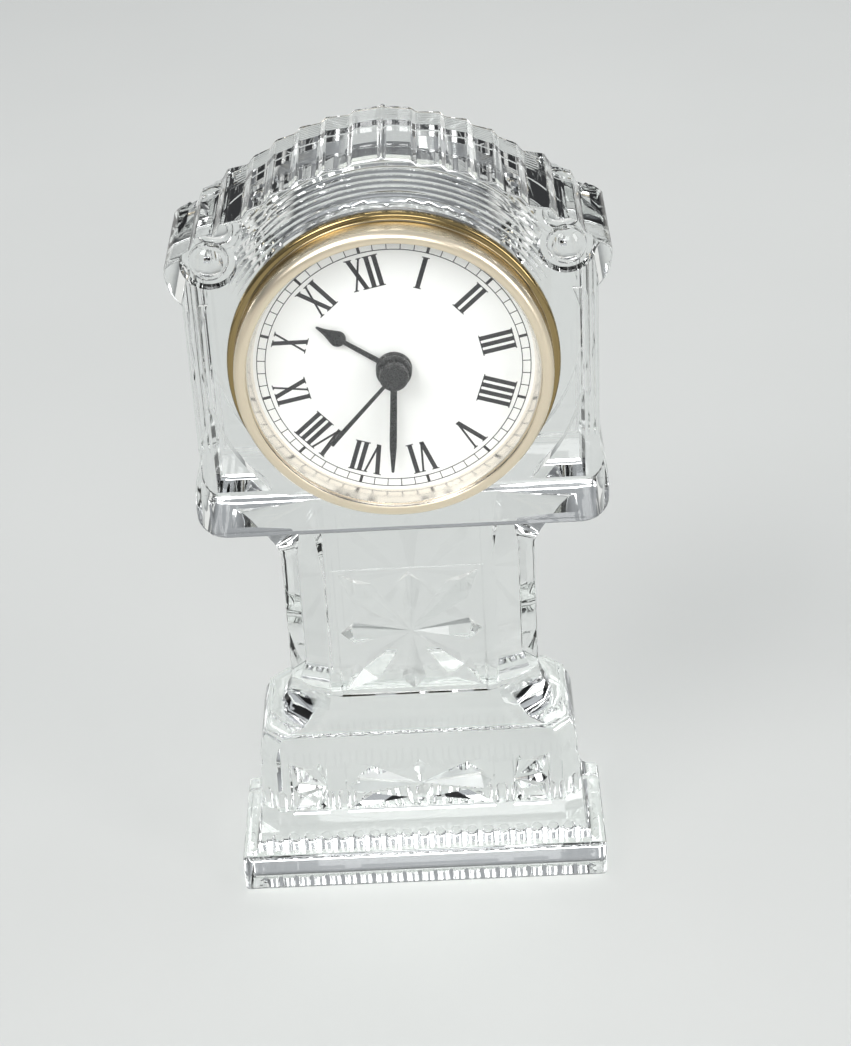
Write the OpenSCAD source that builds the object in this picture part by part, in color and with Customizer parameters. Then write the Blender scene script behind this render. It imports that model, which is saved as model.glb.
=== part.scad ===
// Crystal desk clock: a pressed crystal body shaped like a small longcase clock, with a
// press-in quartz insert. Millimetres, +Z up, front towards -Y, origin under the middle
// of the base.

/* [Crystal base] */
// Width of the plinth slab
slab_w = 70; // [68:0.5:84]
// Depth of the plinth slab
slab_d = 26; // [25:0.5:36]
// Height of the plinth slab
slab_h = 8; // [5:0.5:14]
// Bevel round the plinth slab
slab_bevel = 0.7; // [0.3:0.1:1.5]
// Height of the fluted cove between slab and block
cove_h = 5; // [3:0.5:8]
// Spacing of the flutes in the cove
flute_pitch = 3.1; // [2.6:0.1:5]
// Width of the block at its foot
block_w = 62; // [58:0.5:64]
// Width of the block at its shoulder
shoulder_w = 52.5; // [50:0.5:56]
// Depth of the block
block_d = 23; // [21:0.5:24.5]
// Height of the block
block_h = 22; // [16:0.5:32]
// Chamfer on the upright corners of the block at its foot
block_chamfer = 3.7; // [1:0.1:6]
// Chamfer on the upright corners of the block at its shoulder
shoulder_chamfer = 1.5; // [0.5:0.1:4]
// Height of the sloping shoulder over the block
shoulder_h = 7; // [4:0.5:12]

/* [Crystal trunk] */
// Height of the trunk
trunk_h = 37.5; // [30:0.5:52]
// Width of the trunk at the middle of its depth
trunk_w = 46.4; // [44:0.2:49]
// Width of the flat front of the trunk
trunk_face_w = 31; // [29:0.5:35]
// Depth of the trunk
trunk_d = 18; // [16:0.5:20.5]
// Bevel between the front and the sides of the trunk
trunk_bevel = 5.4; // [3:0.2:6.5]
// Width of the star panel in the trunk
panel_w = 27; // [20:0.5:28]
// Height of the star panel in the trunk
panel_h = 27.5; // [20:0.5:30]
// Depth of the panels behind the faces
panel_depth = 0.5; // [0.2:0.1:1]
// Depth of the cut stars at the ends of their rays
cut_depth = 1.2; // [0.5:0.1:1.6]

/* [Crystal hood] */
// Height of the dial centre over the underside of the hood
dial_rise = 33.3; // [32.5:0.1:36]
// Depth of the hood
hood_d = 23.5; // [22:0.5:25]
// Width over the two caps at the ends of the arch, which is the greatest width of the clock
cap_span = 74.4; // [72:0.2:82]
// Overhang of each cap beyond the column under it
cap_out = 2.5; // [1.8:0.1:3]
// Overhang of the moulding under each column
foot_out = 1.5; // [0.5:0.1:3]
// Distance of the crown of the arch below half of the width
arch_inset = 0.8; // [0:0.1:1.2]
// Number of steps on each side of the arch
arch_steps = 8; // [6:1:10]
// Drop of each step
step_drop = 0.7; // [0.4:0.1:1]
// Width of the round boss that shows beyond the bezel, in front of the spandrels
boss_w = 3.3; // [1.3:0.1:3.8]
// Depth of the spandrels beside the boss
spandrel_depth = 3; // [1:0.5:4.5]
// Number of fine reeds between bezel and arch
reeds = 7; // [3:1:8]
// Radius of the ball in each cap
ball_r = 3.6; // [2.5:0.1:4.5]

/* [Insert] */
// Diameter of the bore through the crystal, to which the whole insert is sized
bore_d = 50; // [48:0.5:52]
// Width of the bezel flange on the crystal, beyond the bore
flange_w = 3.2; // [2.6:0.1:3.6]
// Width of the flange in front of the raised ring of the bezel
ring_step = 1.3; // [0.8:0.1:1.6]
// Space between the movement case and the bore, filled by the grip ring
case_gap = 0.75; // [0.7:0.05:1]
// Wall of the movement case
case_wall = 1.2; // [0.8:0.1:1.5]
// Height of the bezel over the crystal
bezel_h = 6.2; // [5:0.1:6.4]
// Depth of the dial behind the top of the bezel
dial_depth = 5; // [4.2:0.1:5]
// Turn of the insert in its bore, anticlockwise
insert_turn = 12.2; // [-180:0.1:180]
// Radial clearance of the grip ring in the bore
grip_gap = 0.05; // [0.02:0.01:0.1]
// Rise of the lens over its rim
lens_rise = 2.5; // [2.4:0.1:4]
// Thickness of the lens at its middle
lens_t = 1.2; // [0.8:0.1:1.3]

/* [Dial and hands] */
// Distance of the minute track inside the case's outside
track_inset = 1.2; // [1.1:0.05:3]
// Width of the minute track
track_w = 1.55; // [1:0.05:2]
// Space between the minute track and the numerals
numeral_gap = 0.7; // [0.3:0.1:3]
// Height of the numerals
numeral_h = 5.8; // [3:0.1:7]
// Hour shown
shown_hour = 10; // [0:1:11]
// Minute shown
shown_minute = 32; // [0:1:59]
// Second shown
shown_second = 39; // [0:1:59]
// Length of the hour hand
hour_hand_l = 15.1; // [12:0.1:18]
// Length of the minute hand
minute_hand_l = 19.3; // [16:0.1:22]
// Length of the second hand
second_hand_l = 17; // [12:0.1:21]
// Distance between neighbouring hands
hand_gap = 0.25; // [0.2:0.05:0.35]

/* [Movement] */
// Running clearance of arbors in their bearings
arbor_gap = 0.05; // [0.03:0.01:0.08]
// Thickness of the toothed wheels
wheel_t = 0.5; // [0.3:0.05:0.6]
// Radius of the thin arbors
arbor_r = 0.3; // [0.2:0.05:0.35]
// Diameter of the button cell
cell_d = 11.6; // [9.5:0.1:12]
// Height of the button cell
cell_h = 5.4; // [3:0.1:5.4]
// Diameter of the setting knob
knob_d = 8; // [5:0.5:10]
// Height of the setting knob
knob_h = 2.2; // [1.5:0.1:3]

/* [Hidden] */
$fn = 96;
// A little extra length on every cut, so that no face is left behind
eps = 0.1;

// Heights of the crystal, from the table up
block_z = slab_h + cove_h;
shoulder_z = block_z + block_h;
trunk_z = shoulder_z + shoulder_h;
hood_z = trunk_z + trunk_h;
dial_z = hood_z + dial_rise;
// Widths and radii that follow from others
column_span = cap_span - 2 * cap_out;
foot_span = column_span + 2 * foot_out;
arch_r = cap_span / 2 - arch_inset;
bezel_d = bore_d + 2 * flange_w;
bezel_ring_d = bezel_d - 2 * ring_step;
boss_r = bezel_d / 2 + boss_w;
case_d = bore_d - 2 * case_gap;
track_r = case_d / 2 - track_inset;
numeral_r = track_r - track_w - numeral_gap;
// Half of the depths, which are also the places of the front faces
face = hood_d / 2;
trunk_face = trunk_d / 2;
block_face = block_d / 2;

// Frame of the insert: x to the right, y up, z out of the crystal towards the viewer
module at_dial() translate([0, 0, dial_z]) rotate([90, 0, 0]) children();
module on_insert() at_dial() rotate([0, 0, insert_turn]) children();
module both_faces() {
    children();
    mirror([0, 1, 0]) children();
}
module both_sides() {
    children();
    mirror([1, 0, 0]) children();
}
// A front view outline, extruded to a depth about the middle of the crystal
module slice(depth) translate([0, depth / 2, 0]) rotate([90, 0, 0]) linear_extrude(depth) children();
// A side view outline (x is the depth), extruded to a width about the middle
module cross_slice(width) rotate([90, 0, 90]) translate([0, 0, -width / 2])
    linear_extrude(width) children();
module tube(outer, inner, low, high) translate([0, 0, low]) difference() {
    cylinder(r = outer, h = high - low);
    translate([0, 0, -eps]) cylinder(r = inner, h = high - low + 2 * eps);
}
module rod(r, low, high) translate([0, 0, low]) cylinder(r = r, h = high - low);

function polar(r, a) = [r * cos(a), r * sin(a)];
function arc(centre, r, from, to, n) = [for (i = [0:n]) centre + polar(r, from + (to - from) * i / n)];
function mirrored(half) = concat(half, [for (i = [len(half) - 1:-1:0]) [-half[i][0], half[i][1]]]);

// Slab: a bevelled rectangle in both views
module bevelled(w, h, b) polygon([
    [-w / 2 + b, 0], [w / 2 - b, 0], [w / 2, b], [w / 2, h - b],
    [w / 2 - b, h], [-w / 2 + b, h], [-w / 2, h - b], [-w / 2, b]
]);
module slab() intersection() {
    slice(slab_d + 2 * eps) bevelled(slab_w, slab_h, slab_bevel);
    cross_slice(slab_w + 2 * eps) bevelled(slab_d, slab_h, slab_bevel);
}

// Cove: hollow quarter rounds from the foot of the block out to the slab
function cove_half(foot, out) = concat(
    [[0, slab_h - slab_bevel]],
    [[out, slab_h - slab_bevel], [out, slab_h]],
    [for (a = [0:15:90]) [foot + (out - foot) * (1 - sin(a)), slab_h + cove_h * (1 - cos(a))]],
    [[foot, block_z + eps], [0, block_z + eps]]
);
module cove() {
    flute_r = flute_pitch * 0.42;
    wide = slab_w / 2 - slab_bevel;
    deep = slab_d / 2 - slab_bevel;
    across = floor(2 * (wide - flute_r) / flute_pitch / 2);
    along = floor(2 * (deep - flute_r) / flute_pitch / 2);
    difference() {
        intersection() {
            slice(2 * deep) polygon(mirrored(cove_half(block_w / 2, wide)));
            cross_slice(2 * wide) polygon(mirrored(cove_half(block_face, deep)));
        }
        both_faces() for (i = [-across:across])
            translate([i * flute_pitch, -deep, slab_h]) cylinder(r = flute_r, h = cove_h, $fn = 24);
        both_sides() for (i = [-along:along])
            translate([wide, i * flute_pitch, slab_h]) cylinder(r = flute_r, h = cove_h, $fn = 24);
    }
}

// Plan of the block: a rectangle with its corners cut off
module block_plan(w, chamfer) polygon(mirrored([
    [0, -block_face], [w / 2 - chamfer, -block_face], [w / 2, -block_face + chamfer],
    [w / 2, block_face - chamfer], [w / 2 - chamfer, block_face], [0, block_face]
]));
// Plan of the trunk: flat in front, with a wide bevel to each side and a narrow flat edge
trunk_edge = 3;
module trunk_plan() polygon(mirrored([
    [0, -trunk_face], [trunk_face_w / 2, -trunk_face],
    [trunk_face_w / 2 + trunk_bevel, -trunk_face + trunk_bevel],
    [trunk_w / 2, -trunk_edge / 2], [trunk_w / 2, trunk_edge / 2],
    [trunk_face_w / 2 + trunk_bevel, trunk_face - trunk_bevel],
    [trunk_face_w / 2, trunk_face], [0, trunk_face]
]));
// A thin sheet of a plan at a height, for a solid that runs between two plans
sheet = 0.01;
module sheet_at(z) translate([0, 0, z]) linear_extrude(sheet) children();
// Block: its sides lean in towards the shoulder
module block() hull() {
    sheet_at(block_z) block_plan(block_w, block_chamfer);
    sheet_at(shoulder_z - sheet) block_plan(shoulder_w, shoulder_chamfer);
}
module shoulder() hull() {
    sheet_at(shoulder_z - sheet) block_plan(shoulder_w, shoulder_chamfer);
    sheet_at(trunk_z - sheet) trunk_plan();
}
// Hollow brackets of the neck, which carry the hood
neck_drop = 5;
neck_inset = 8;
// Length by which joined masses of crystal run into each other
overlap = 1;
module trunk() {
    translate([0, 0, shoulder_z]) linear_extrude(shoulder_h + trunk_h + overlap) trunk_plan();
    neck = foot_span / 2 - neck_inset;
    slice(trunk_d) polygon(mirrored(concat(
        [[0, hood_z + overlap], [neck, hood_z + overlap]],
        [for (a = [0:15:90]) [neck - (neck - trunk_w / 2) * sin(a), hood_z - neck_drop * (1 - cos(a))]],
        [[0, hood_z - neck_drop]]
    )));
}

// Arch: angles run from the top, and the radius grows by the flare beyond an angle
arch_sweep = 60.4;
step_angle = arch_sweep / arch_steps;
flare_from = 38;
flare = 0.2;
riser_turn = 1.4;
riser_growth = 0.035;
function arch_radius(a) = arch_r + flare * max(0, a - flare_from);
function step_end(k) = [0, dial_z]
    + polar(arch_radius(k * step_angle) + step_drop / 2, 90 - k * step_angle);
function step_foot(k) = [0, dial_z] + polar(
    arch_radius(k * step_angle + riser_turn) - step_drop / 2,
    90 - k * step_angle * (1 + riser_growth) - riser_turn
);
// Mouldings under the columns and caps above them
foot_round = 5;
swell_r = 26;
swell_rise = 1.5;
column_drop = 16.3;
cap_round = 8.7;
cap_rise = 18.5;
cap_edge = 0.9;
column_x = column_span / 2;
cap_turn = acos((column_x - cap_span / 2 + cap_round) / cap_round);
// Hood outline, from the middle of the underside round the right to the top
module hood_outline() polygon(mirrored(concat(
    [[0, hood_z]],
    arc([foot_span / 2 - foot_round, hood_z + foot_round], foot_round, -90, 0, 6),
    arc([foot_span / 2 - swell_r, hood_z + foot_round + swell_rise], swell_r, 0, 20, 6),
    [[column_x, dial_z - column_drop]],
    arc([cap_span / 2 - cap_round, dial_z + cap_rise], cap_round, -cap_turn, 0, 5),
    [[cap_span / 2 - 0.1, dial_z + cap_rise + cap_edge], step_end(arch_steps)],
    [for (k = [arch_steps - 1:-1:1]) each [step_foot(k), step_end(k)]],
    [[0, dial_z + arch_r + step_drop]]
)));

// Recesses left between the boss, the column and the mouldings
spandrel_low = -23.6;
spandrel_high = 12;
column_w = 2.7;
module spandrels() both_faces() both_sides() difference() {
    inner = boss_r * 0.6;
    translate([inner, -face - eps, dial_z + spandrel_low])
        cube([column_x - column_w - inner, spandrel_depth + eps, spandrel_high - spandrel_low]);
    translate([0, -face - 2 * eps, dial_z]) rotate([-90, 0, 0])
        cylinder(r = boss_r, h = spandrel_depth + 4 * eps);
}
// Fine reeds: grooves round the dial centre, one a millimetre, between the two caps only
reed_half = 0.45;
reed_gap = 0.7;
ball_inset = 7.6;
ball_x = cap_span / 2 - ball_inset;
reeding_w = 2 * (ball_x - ball_r - 1.5);
module reeding() both_faces() intersection() {
    at_dial() rotate_extrude() for (i = [0:reeds - 1])
        translate([bezel_d / 2 + reed_gap + i, face])
            polygon([[-reed_half, eps], [0, -reed_half], [reed_half, eps]]);
    translate([-reeding_w / 2, -face - overlap, dial_z + spandrel_high]) cube([reeding_w, 3, arch_r]);
}
// Balls in the caps, each standing in a ring cut round it
ball_rise = 20.1;
ball_sink = 2.6;
ring_out = 1.3;
ring_in = 0.4;
ring_depth = 0.9;
module at_balls() both_faces() both_sides()
    translate([ball_x, -face, dial_z + ball_rise]) rotate([90, 0, 0]) children();
module balls() at_balls() intersection() {
    translate([0, 0, -ball_sink]) sphere(r = ball_r, $fn = 48);
    translate([0, 0, -overlap]) cylinder(r = ball_r, h = ball_r + overlap);
}
module ball_rings() at_balls() tube(ball_r + ring_out, ball_r - ring_in, -ring_depth, eps);

// A panel sunk in the front face, in a frame with z out of that face
module on_face(front, z) translate([0, -front, z]) rotate([90, 0, 0]) children();
module sunk(w, h) translate([-w / 2, -h / 2, -panel_depth]) cube([w, h, panel_depth + eps]);
// One ray: a groove with a V section that runs deeper and wider away from the middle
module ray(reach, w) rotate([0, atan(cut_depth / reach), 0]) rotate([90, 0, 90])
    linear_extrude(reach) polygon([[0, 0], [w, 2 * cut_depth], [-w, 2 * cut_depth]]);
// Distance from the middle of a panel to its edge in a direction, less a little margin
function reach_at(a, w, h) = 0.48 * min(w / max(0.01, abs(cos(a))), h / max(0.01, abs(sin(a))));
// Rays to the corners of a panel and to the middles of its sides, for turns in steps of 45
module star(w, h, ray_w, turns) translate([0, 0, -panel_depth]) for (turn = turns) {
    a = atan2(h * sin(turn), w * cos(turn));
    rotate([0, 0, a]) ray(reach_at(a, w, h), ray_w);
}
all_round = [0:45:315];
half_round = [-90:45:90];
trunk_ray_w = 4.2;
block_ray_w = 2.4;
side_ray_w = 2;
block_mid = block_z + 10;
block_panel_h = 11.8;
block_panel_w = 28;
side_panel_w = 6.8;
side_panel_x = 21;
panel_mid = trunk_z + 0.3 + panel_h / 2;
module cuts() {
    on_face(trunk_face, panel_mid) {
        sunk(panel_w, panel_h);
        star(panel_w, panel_h, trunk_ray_w, all_round);
    }
    on_face(block_face, block_mid) {
        sunk(block_panel_w, block_panel_h);
        star(block_panel_w, block_panel_h, block_ray_w, all_round);
    }
    both_sides() translate([side_panel_x, 0, 0]) on_face(block_face, block_mid) {
        sunk(side_panel_w, block_panel_h);
        intersection() {
            translate([-side_panel_w / 2, 0, 0])
                star(2 * side_panel_w, block_panel_h, side_ray_w, half_round);
            translate([-side_panel_w / 2, -block_panel_h / 2, -face]) cube([side_panel_w, block_panel_h, 2 * face]);
        }
    }
}

module crystal_body() color("aliceblue") difference() {
    union() {
        slab();
        cove();
        block();
        shoulder();
        trunk();
        slice(hood_d) hood_outline();
        balls();
    }
    at_dial() cylinder(d = bore_d, h = 2 * hood_d, center = true, $fn = 128);
    spandrels();
    reeding();
    ball_rings();
    cuts();
}

// Places along the axis of the insert, measured from the middle of the crystal
seat_gap = 0.1;
bezel_low = face + seat_gap;
bezel_top = face + bezel_h;
dial_top = bezel_top - dial_depth;
dial_t = 0.6;
dial_low = dial_top - dial_t;
case_r = case_d / 2;
case_in = case_r - case_wall;
bezel_lip = 1.8;
ring_r = bezel_ring_d / 2 - bezel_lip;
fit = 0.05;
lens_r = ring_r - fit;
lens_edge = 0.7;
lens_edge_top = bezel_top - 0.55;
lens_edge_low = lens_edge_top - lens_edge;
lens_top = lens_edge_top + lens_rise;
lens_low = lens_top - lens_t;

// Radius of a sphere that rises by a height over a rim of a given radius
function dome_r(rim, rise) = (rim * rim + rise * rise) / (2 * rise);

// Bezel: a sleeve in the bore, a rounded flange on the crystal, a raised ring and a lip
sleeve_l = 3.2;
sleeve_gap = 0.12;
flange_round = 0.8;
ring_round = 2.4;
lip = 0.3;
module bezel() color("gold") on_insert() rotate_extrude($fn = 128) polygon(concat(
    [[case_r + fit, bezel_low - sleeve_l], [bore_d / 2 - sleeve_gap, bezel_low - sleeve_l]],
    [[bore_d / 2 - sleeve_gap, bezel_low], [bezel_d / 2 - 0.2, bezel_low], [bezel_d / 2, bezel_low + 0.2]],
    arc([bezel_d / 2 - flange_round, bezel_low + 0.6], flange_round, 0, 60, 4),
    arc([bezel_ring_d / 2 - ring_round, bezel_top - ring_round], ring_round, 0, 65, 6),
    [[ring_r + 0.15, bezel_top], [ring_r - lip, bezel_top - 0.15], [ring_r - lip, bezel_top - 0.4]],
    [[ring_r, bezel_top - 0.5], [ring_r, dial_top], [case_r + fit, dial_top]]
));

module lens() color("azure", 0.35) on_insert() {
    top_r = dome_r(lens_r, lens_rise);
    low_r = dome_r(lens_r, lens_low - lens_edge_low);
    difference() {
        intersection() {
            translate([0, 0, lens_top - top_r]) sphere(r = top_r, $fn = 200);
            rod(lens_r, lens_edge_low, lens_top + 1);
        }
        translate([0, 0, lens_low - low_r]) sphere(r = low_r, $fn = 200);
    }
}

// Sloping ring between the dial and the lens
module reflector_ring() color("wheat") on_insert() rotate_extrude($fn = 128) polygon([
    [track_r + 0.6, dial_top], [ring_r - fit, dial_top],
    [ring_r - fit, lens_edge_low], [ring_r - 0.7, lens_edge_low]
]);

// Radii of the three nested arbors at the centre of the dial
seconds_r = 0.4;
cannon_wall = 0.5;
cannon_in = seconds_r + arbor_gap;
cannon_r = cannon_in + cannon_wall;
hour_in = cannon_r + arbor_gap;
hour_r = hour_in + 0.55;

module dial_plate() color("white") on_insert() tube(case_r - fit, hour_r + 0.4, dial_low, dial_top);

// Printing on the dial: two rings, sixty ticks and twelve roman numerals, feet inwards
ink_t = 0.05;
thick = 0.75;
thin = 0.4;
line_w = 0.12;
bold_w = 0.5;
module stroke(x, lean, w) {
    top = numeral_h;
    foot = x - w / 2 - lean;
    head = x - w / 2 + lean;
    polygon([[foot, 0], [foot + w, 0], [head + w, top], [head, top]]);
}
// Marks: 1 an upright, 5 a V, 10 an X, each of a given width
mark_w = [0, 1.3, 0, 0, 0, 2.9, 0, 0, 0, 0, 3];
module mark(kind, x) {
    if (kind == 1) stroke(x, 0, thick);
    if (kind == 5) {
        stroke(x - 0.6, -0.6, thick);
        stroke(x + 0.6, 0.6, thin);
    }
    if (kind == 10) {
        stroke(x, -1, thick);
        stroke(x, 1, thin);
    }
}
NUMERALS = [
    [10, 1, 1], [1], [1, 1], [1, 1, 1], [1, 1, 1, 1], [5],
    [5, 1], [5, 1, 1], [5, 1, 1, 1], [1, 10], [10], [10, 1]
];
function sum_to(list, n) = n <= 0 ? 0 : list[n - 1] + sum_to(list, n - 1);
module numeral(marks) {
    widths = [for (m = marks) mark_w[m]];
    total = sum_to(widths, len(widths));
    for (i = [0:len(marks) - 1]) mark(marks[i], sum_to(widths, i) + widths[i] / 2 - total / 2);
}
module dial_markings() color("black") on_insert() {
    track_in = track_r - track_w;
    tube(track_r, track_r - line_w, dial_top, dial_top + ink_t);
    tube(track_in + line_w, track_in, dial_top, dial_top + ink_t);
    translate([0, 0, dial_top]) linear_extrude(ink_t) for (i = [0:59]) rotate(-6 * i) {
        w = i % 5 == 0 ? bold_w : line_w;
        translate([-w / 2, track_in + line_w + 0.01]) square([w, track_w - 2 * line_w - 0.02]);
    }
    translate([0, 0, dial_top]) linear_extrude(ink_t) for (i = [0:11]) rotate(-30 * i)
        translate([0, numeral_r - numeral_h]) numeral(NUMERALS[i]);
}

// Hands, each on a collet, and their heights over the dial
minute_now = shown_minute + shown_second / 60;
hour_turn = -30 * (shown_hour + minute_now / 60);
minute_turn = -6 * minute_now;
second_turn = -6 * shown_second;
hour_low = dial_top + 0.2;
hour_top = hour_low + 0.8;
minute_low = hour_top + hand_gap;
minute_top = minute_low + 0.95;
second_low = minute_top + hand_gap;
second_h = 1.85;
second_top = second_low + second_h;
blade_t = 0.25;
press = 0.01;
second_bore = 0.7;
hour_hub = 3;
minute_hub = 3;
second_hub = 2.45;
// A flat blade drawn in front view, whose foot runs a little into its hub
module blade(z) translate([0, 0, z]) linear_extrude(blade_t) children();
foot_half = 0.45;
stem_half = 0.3;
head_r = 1.3;
head_l = 4.1;
tip_half_w = 0.1;
taper_l = 3;
module hour_hand() color("black") on_insert() rotate([0, 0, hour_turn]) {
    tube(hour_hub, hour_r + press, hour_low, hour_top);
    blade(hour_low + 0.4) polygon(mirrored(concat(
        [[0, hour_hub - eps], [foot_half, hour_hub - eps], [stem_half, hour_hand_l - head_l - head_r]],
        arc([0, hour_hand_l - head_l], head_r, -70, 30, 6),
        [[0, hour_hand_l]]
    )));
}
module minute_hand() color("black") on_insert() rotate([0, 0, minute_turn]) {
    tube(minute_hub, cannon_r + press, minute_low, minute_top);
    blade(minute_low + 0.5) polygon(mirrored([
        [0, minute_hub - eps], [foot_half, minute_hub - eps], [0.42, minute_hand_l - taper_l],
        [tip_half_w, minute_hand_l], [0, minute_hand_l]
    ]));
}
module second_hand() color("black") on_insert() rotate([0, 0, second_turn]) {
    difference() {
        rod(second_hub, second_low, second_top);
        rod(seconds_r + press, second_low - eps, second_low + second_bore);
    }
    blade(second_low + 0.6) translate([-stem_half, second_hub - eps])
        square([2 * stem_half, second_hand_l - second_hub + eps]);
}

// Wheels. Tooth counts, and modules in millimetres of pitch diameter for each tooth
cannon_teeth = 12;
minute_teeth = 36;
minute_pinion = 10;
hour_teeth = 40;
centre_teeth = 64;
third_pinion = 8;
third_teeth = 60;
seconds_pinion = 8;
seconds_teeth = 40;
inter_pinion = 8;
inter_teeth = 36;
rotor_pinion = 6;
motion_m = 0.2;
hour_m = motion_m * (cannon_teeth + minute_teeth) / (minute_pinion + hour_teeth);
third_m = 0.18;
centre_m = third_m * (seconds_pinion + third_teeth) / (third_pinion + centre_teeth);
inter_m = 0.26;
rotor_m = 0.2;
minute_a = motion_m * (cannon_teeth + minute_teeth) / 2;
third_a = third_m * (seconds_pinion + third_teeth) / 2;
inter_a = inter_m * (seconds_teeth + inter_pinion) / 2;
rotor_a = rotor_m * (inter_teeth + rotor_pinion) / 2;
// Directions from the centre: the motion work goes one way, the two trains the other two
motion_dir = 60;
third_dir = 150;
motor_dir = -30;
minute_at = polar(minute_a, motion_dir);
knob_at = polar(2 * minute_a, motion_dir);
third_at = polar(third_a, third_dir);
inter_at = polar(inter_a, motor_dir);
rotor_at = polar(inter_a + rotor_a, motor_dir);

// Angle of a wheel's first tooth, so that it meshes with a wheel that lies at angle
// dir as seen from the driver, whose first tooth is at angle first
function meshed(first, driver, driven, dir) = dir + 180 - (first - dir) * driver / driven + 180 / driven;
minute_first = meshed(0, cannon_teeth, minute_teeth, motion_dir);
knob_first = meshed(minute_first, minute_teeth, cannon_teeth, motion_dir);
hour_first = meshed(0, minute_pinion, hour_teeth, motion_dir + 180);
third_first = meshed(0, centre_teeth, third_pinion, third_dir);
seconds_first = meshed(0, third_teeth, seconds_pinion, third_dir + 180);
inter_first = meshed(0, seconds_teeth, inter_pinion, motor_dir);
rotor_first = meshed(0, inter_teeth, rotor_pinion, motor_dir);

// A toothed wheel. Heights are in modules, and half widths in shares of the pitch
addendum = 0.7;
dedendum = 1.05;
tip_half = 0.1;
root_half = 0.23;
module toothed(teeth, m, first, low, high) {
    tip = m * (teeth / 2 + addendum);
    root = m * (teeth / 2 - dedendum);
    pitch = 360 / teeth;
    translate([0, 0, low]) linear_extrude(high - low) polygon([for (k = [0:teeth - 1]) each [
        polar(root, first + (k - root_half) * pitch), polar(tip, first + (k - tip_half) * pitch),
        polar(tip, first + (k + tip_half) * pitch), polar(root, first + (k + root_half) * pitch)
    ]]);
}

// Heights of the plates and wheels, front to back
motion_space = 2.3;
plate_top = dial_low - motion_space;
plate_t = 1.1;
plate_low = plate_top - plate_t;
motion_low = plate_top + 0.2;
cannon_h = 0.7;
hour_wheel_low = motion_low + cannon_h + 0.2;
centre_low = plate_low - 1.1;
third_low = centre_low - 1.7;
level = 1.6;
seconds_low = third_low - level;
inter_low = seconds_low - level;
bridge_top = inter_low - 0.6;
bridge_t = 1;
bridge_low = bridge_top - bridge_t;
// Pivots, and how far a pinion reaches beyond the wheel that drives it
pivot_l = 0.8;
pivot_top = plate_low + pivot_l;
pivot_low = bridge_top - pivot_l;
reach = 0.2;
stator_low = seconds_low + 1.2;
iron_t = 0.6;
core_low = stator_low + iron_t;
core_top = core_low + iron_t;
board_t = 0.8;
board_low = bridge_low - board_t;
contact_t = 0.2;
cell_top = board_low - contact_t;
cell_low = cell_top - cell_h;
cell_space = 0.6;
cover_top = cell_low - cell_space;
cover_t = 1.1;
cover_low = cover_top - cover_t;

// Parts of wheels and arbors that lie deeper than their bearings
minute_pivot = 0.6;
cannon_tail = 0.4;
module hour_wheel() color("ivory") on_insert() difference() {
    union() {
        toothed(hour_teeth, hour_m, hour_first, hour_wheel_low, hour_wheel_low + wheel_t);
        rod(hour_r, hour_wheel_low, hour_top);
    }
    rod(hour_in, hour_wheel_low - eps, hour_top + eps);
}
module minute_wheel() color("ivory") on_insert() translate(minute_at) {
    wheel_low = motion_low + 0.1;
    toothed(minute_teeth, motion_m, minute_first, wheel_low, wheel_low + wheel_t);
    toothed(minute_pinion, hour_m, 0, wheel_low + wheel_t, hour_wheel_low + wheel_t + 0.1);
    rod(arbor_r, pivot_top - minute_pivot, wheel_low);
}
module cannon_pinion() color("silver") on_insert() difference() {
    union() {
        toothed(cannon_teeth, motion_m, 0, motion_low, motion_low + cannon_h);
        rod(cannon_r, centre_low - cannon_tail, minute_top);
    }
    rod(cannon_in, centre_low - cannon_tail - eps, minute_top + eps);
}
module centre_wheel() color("ivory") on_insert() difference() {
    toothed(centre_teeth, centre_m, 0, centre_low, centre_low + wheel_t);
    rod(cannon_r + press, centre_low - eps, centre_low + wheel_t + eps);
}
module third_wheel() color("ivory") on_insert() translate(third_at) {
    toothed(third_teeth, third_m, 0, third_low, third_low + wheel_t);
    toothed(third_pinion, centre_m, third_first, third_low + wheel_t, centre_low + wheel_t + reach);
    rod(arbor_r, pivot_low, pivot_top);
}
module seconds_wheel() color("ivory") on_insert() {
    toothed(seconds_teeth, inter_m, 0, seconds_low, seconds_low + wheel_t);
    toothed(seconds_pinion, third_m, seconds_first, seconds_low + wheel_t, third_low + wheel_t + reach);
    rod(seconds_r, pivot_low, second_low + second_bore - press);
}
module intermediate_wheel() color("ivory") on_insert() translate(inter_at) {
    toothed(inter_teeth, rotor_m, 0, inter_low, inter_low + wheel_t);
    toothed(inter_pinion, inter_m, inter_first, inter_low + wheel_t, seconds_low + wheel_t + reach);
    rod(arbor_r, pivot_low, pivot_top);
}
magnet_r = 1.2;
magnet_sink = 0.6;
module rotor() color("dimgray") on_insert() translate(rotor_at) {
    rod(magnet_r, stator_low - magnet_sink, core_top);
    toothed(rotor_pinion, rotor_m, rotor_first, inter_low - reach, inter_low + wheel_t + reach);
    rod(arbor_r, pivot_low, pivot_top);
}

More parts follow.
